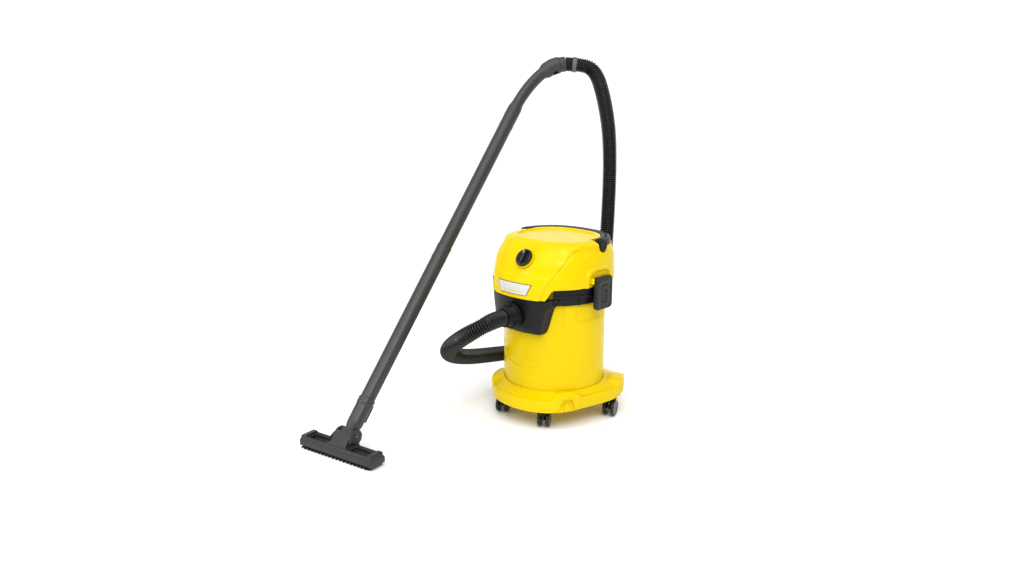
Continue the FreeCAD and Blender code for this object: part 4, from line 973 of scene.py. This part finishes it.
# ---------------------------------------------------------------- nozzle
def make_nozzle():
    """Floor nozzle: rounded ends, two sunk windows, the pyramid hump and the pivot cheeks."""
    place = NOZZLE_PLACE
    half, front, rear = 122, -53, -3
    parts = [rounded_box((-half + 0.3, front + 0.3, 7.2), (half - 0.3, rear - 0.3, 25), 3.5, place),
             rounded_box((-half + 0.6, front + 1.2, 14), (half - 1.2, rear - 1.2, 32.8), 8, place)]
    for side in (-1, 1):
        low, high = sorted((side * 100, side * 119))
        parts.append(rounded_box((low, front + 2.5, 20), (high, rear - 2.5, 35.5), 5, place))
    def slab(outline, ends, lean=0):
        return moved([[(x + math.copysign(lean, x) * (60 - z) / 30, y, z) for y, z in outline] for x in ends],
                     place)

    parts.append(slab(((-49, 27), (-46, 31), (-17, 61), (-12, 60), (-4, 27)), (-20, 20), 6))
    for side in (-1, 1):
        ends = sorted((side * 19.2, side * 27))
        parts.append(slab(((-48, 27), (-45, 31), (-17, 61.5), (-7, 65), (4, 64), (14, 58), (19, 47), (15, 34),
                           (6, 27)), ends, 0))
        parts.append(slab(((-48, 27), (-22, 56), (-6, 58), (-3.5, 27)), sorted((side * 25, side * 28)), 12))
    holes = [rounded_box((-half + 12, -38, 4), (half - 12, -18, 15), 1, place),
             turned_points([(21.6, -19.2), (21.6, 19.2)], place @ frame_at((0, 0, 45), (1, 0, 0)), 56),
             turned_points([(4.06, -40), (4.06, 40)], place @ frame_at((0, 0, 45), (1, 0, 0)), 24),
             turned_points([(12, 0), (12, 34)], place @ frame_at((0, -26, 13), (0, 0.6, 1)), 40)]
    for side in (-1, 1):
        low, high = sorted((side * 34, side * 103))
        holes.append(rounded_box((low, -45, 28.5), (high, -11, 44), 2.5, place))
        holes.append(rounded_box((low + 4, -41, 18.6), (high - 5, -15, 44), 2.5, place))
        holes.append(rounded_box((side * 112 - 1.2, -60, 12), (side * 112 + 1.2, -51.4, 24), 0.4, place))
    melted("nozzle_moulded", parts, holes, "nozzle", "grey_plastic", GREY, ("nozzle_body",), 0.6, 3)
    for node, start in (("front_strip", front + 5), ("rear_strip", rear - 9)):
        teeth = [rounded_box((-half + 8.2, start + 0.1, 3.6), (half - 8.2, start + 3.9, 7), 0.5, place)]
        for step in range(-10, 10):
            low_x = max(step * 12 + 1.1, -half + 8.2)
            high_x = min(step * 12 + 10.9, half - 8.2)
            if high_x - low_x > 2:
                teeth.append(rounded_box((low_x, start + 0.1, 0.1), (high_x, start + 3.9, 4.4), 0.6, place))
                if node == "front_strip":
                    teeth.append(rounded_box((low_x + 1, front - 0.6, 1.2), (high_x - 3.5, start + 1, 6.8), 0.8, place))
        joined(f"{node}_lips", teeth, "nozzle", "strip_rubber", RUBBER, (node,))


make_container()
make_band()
make_housing()
make_chassis()
make_casters()
make_latches()
make_tubes()
make_neck()
make_grip()
make_nozzle()

# ---------------------------------------------------------------- carried-over CAD nodes
CARRIED = {
    "inlet_deflector": BLACK, "housing_screws": STEEL, "head_base": BLACK, "head_gasket": RUBBER,
    "motor_housing": GREY, "motor_stator": IRON, "motor_bearings": STEEL, "exhaust_foam": FOAM,
    "switch_module": BLACK, "head_screws": STEEL, "motor_shaft": STEEL, "motor_armature": IRON,
    "fan_impeller": ALLOY, "filter_cage": BLACK, "float_cup": CAP, "filter_media": PLEATS,
    "filter_top_cap": BLACK, "filter_bottom_cap": CAP, "filter_lock": BLACK, "handle_pins": STEEL,
    "latch_pins": STEEL, "nozzle_pin": STEEL,
}
for name, material in CARRIED.items():
    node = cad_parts[name]
    node.data.materials.clear()
    node.data.materials.append(material)


# ---------------------------------------------------------------- stage and light
def make_stage():
    """Pale floor that reaches to the horizon."""
    mesh = bpy.data.meshes.new("paper")
    mesh.from_pydata([(x, y, -0.0005) for y in (-60, 60) for x in (-60, 60)], [], [(0, 1, 3, 2)])
    paper = bpy.data.objects.new("paper", mesh)
    bpy.context.scene.collection.objects.link(paper)
    material = bpy.data.materials.new("paper")
    material.use_nodes = True
    shader = material.node_tree.nodes["Principled BSDF"]
    shader.inputs["Base Color"].default_value = (1.0, 1.0, 1.0, 1)
    shader.inputs["Roughness"].default_value = 0.95
    shader.inputs["Specular IOR Level"].default_value = 0.1
    mesh.materials.append(material)


def make_light(name, location, size, power, target=(0, 0, 0.25)):
    data = bpy.data.lights.new(name, "AREA")
    data.shape = "RECTANGLE"
    data.size, data.size_y = size
    data.energy = power
    lamp = bpy.data.objects.new(name, data)
    bpy.context.scene.collection.objects.link(lamp)
    lamp.location = location
    away = Vector(location) - Vector(target)
    lamp.rotation_euler = away.to_track_quat("Z", "Y").to_euler()


def make_sun():
    data = bpy.data.lights.new("overhead", "SUN")
    data.energy = 1.7
    data.angle = math.radians(70)
    lamp = bpy.data.objects.new("overhead", data)
    bpy.context.scene.collection.objects.link(lamp)
    lamp.rotation_euler = Vector((0.35, -0.55, 1.3)).to_track_quat("Z", "Y").to_euler()


def make_world():
    """White backdrop behind the object, softer grey walls at the sides."""
    world = bpy.data.worlds.new("studio")
    bpy.context.scene.world = world
    world.use_nodes = True
    nodes, links = world.node_tree.nodes, world.node_tree.links
    place = nodes.new("ShaderNodeTexCoord")
    facing = nodes.new("ShaderNodeVectorMath")
    facing.operation = "DOT_PRODUCT"
    facing.inputs[1].default_value = (-math.sin(math.radians(40)), math.cos(math.radians(40)), 0)
    links.new(place.outputs["Generated"], facing.inputs[0])
    span = nodes.new("ShaderNodeMapRange")
    for key, value in (("From Min", 0.5), ("From Max", 0.82), ("To Min", 0.44), ("To Max", 1.05)):
        span.inputs[key].default_value = value
    links.new(facing.outputs["Value"], span.inputs["Value"])
    links.new(span.outputs["Result"], nodes["Background"].inputs["Strength"])
    nodes["Background"].inputs["Color"].default_value = (1, 1, 1, 1)


make_stage()
make_world()
make_sun()
make_light("key", (1.3, -1.2, 1.7), (0.5, 0.9), 9)
make_light("left", (-1.0, -1.9, 1.2), (0.35, 1.2), 7)

scene = bpy.context.scene
scene.view_settings.view_transform = "Standard"
scene.view_settings.look = "Medium High Contrast"
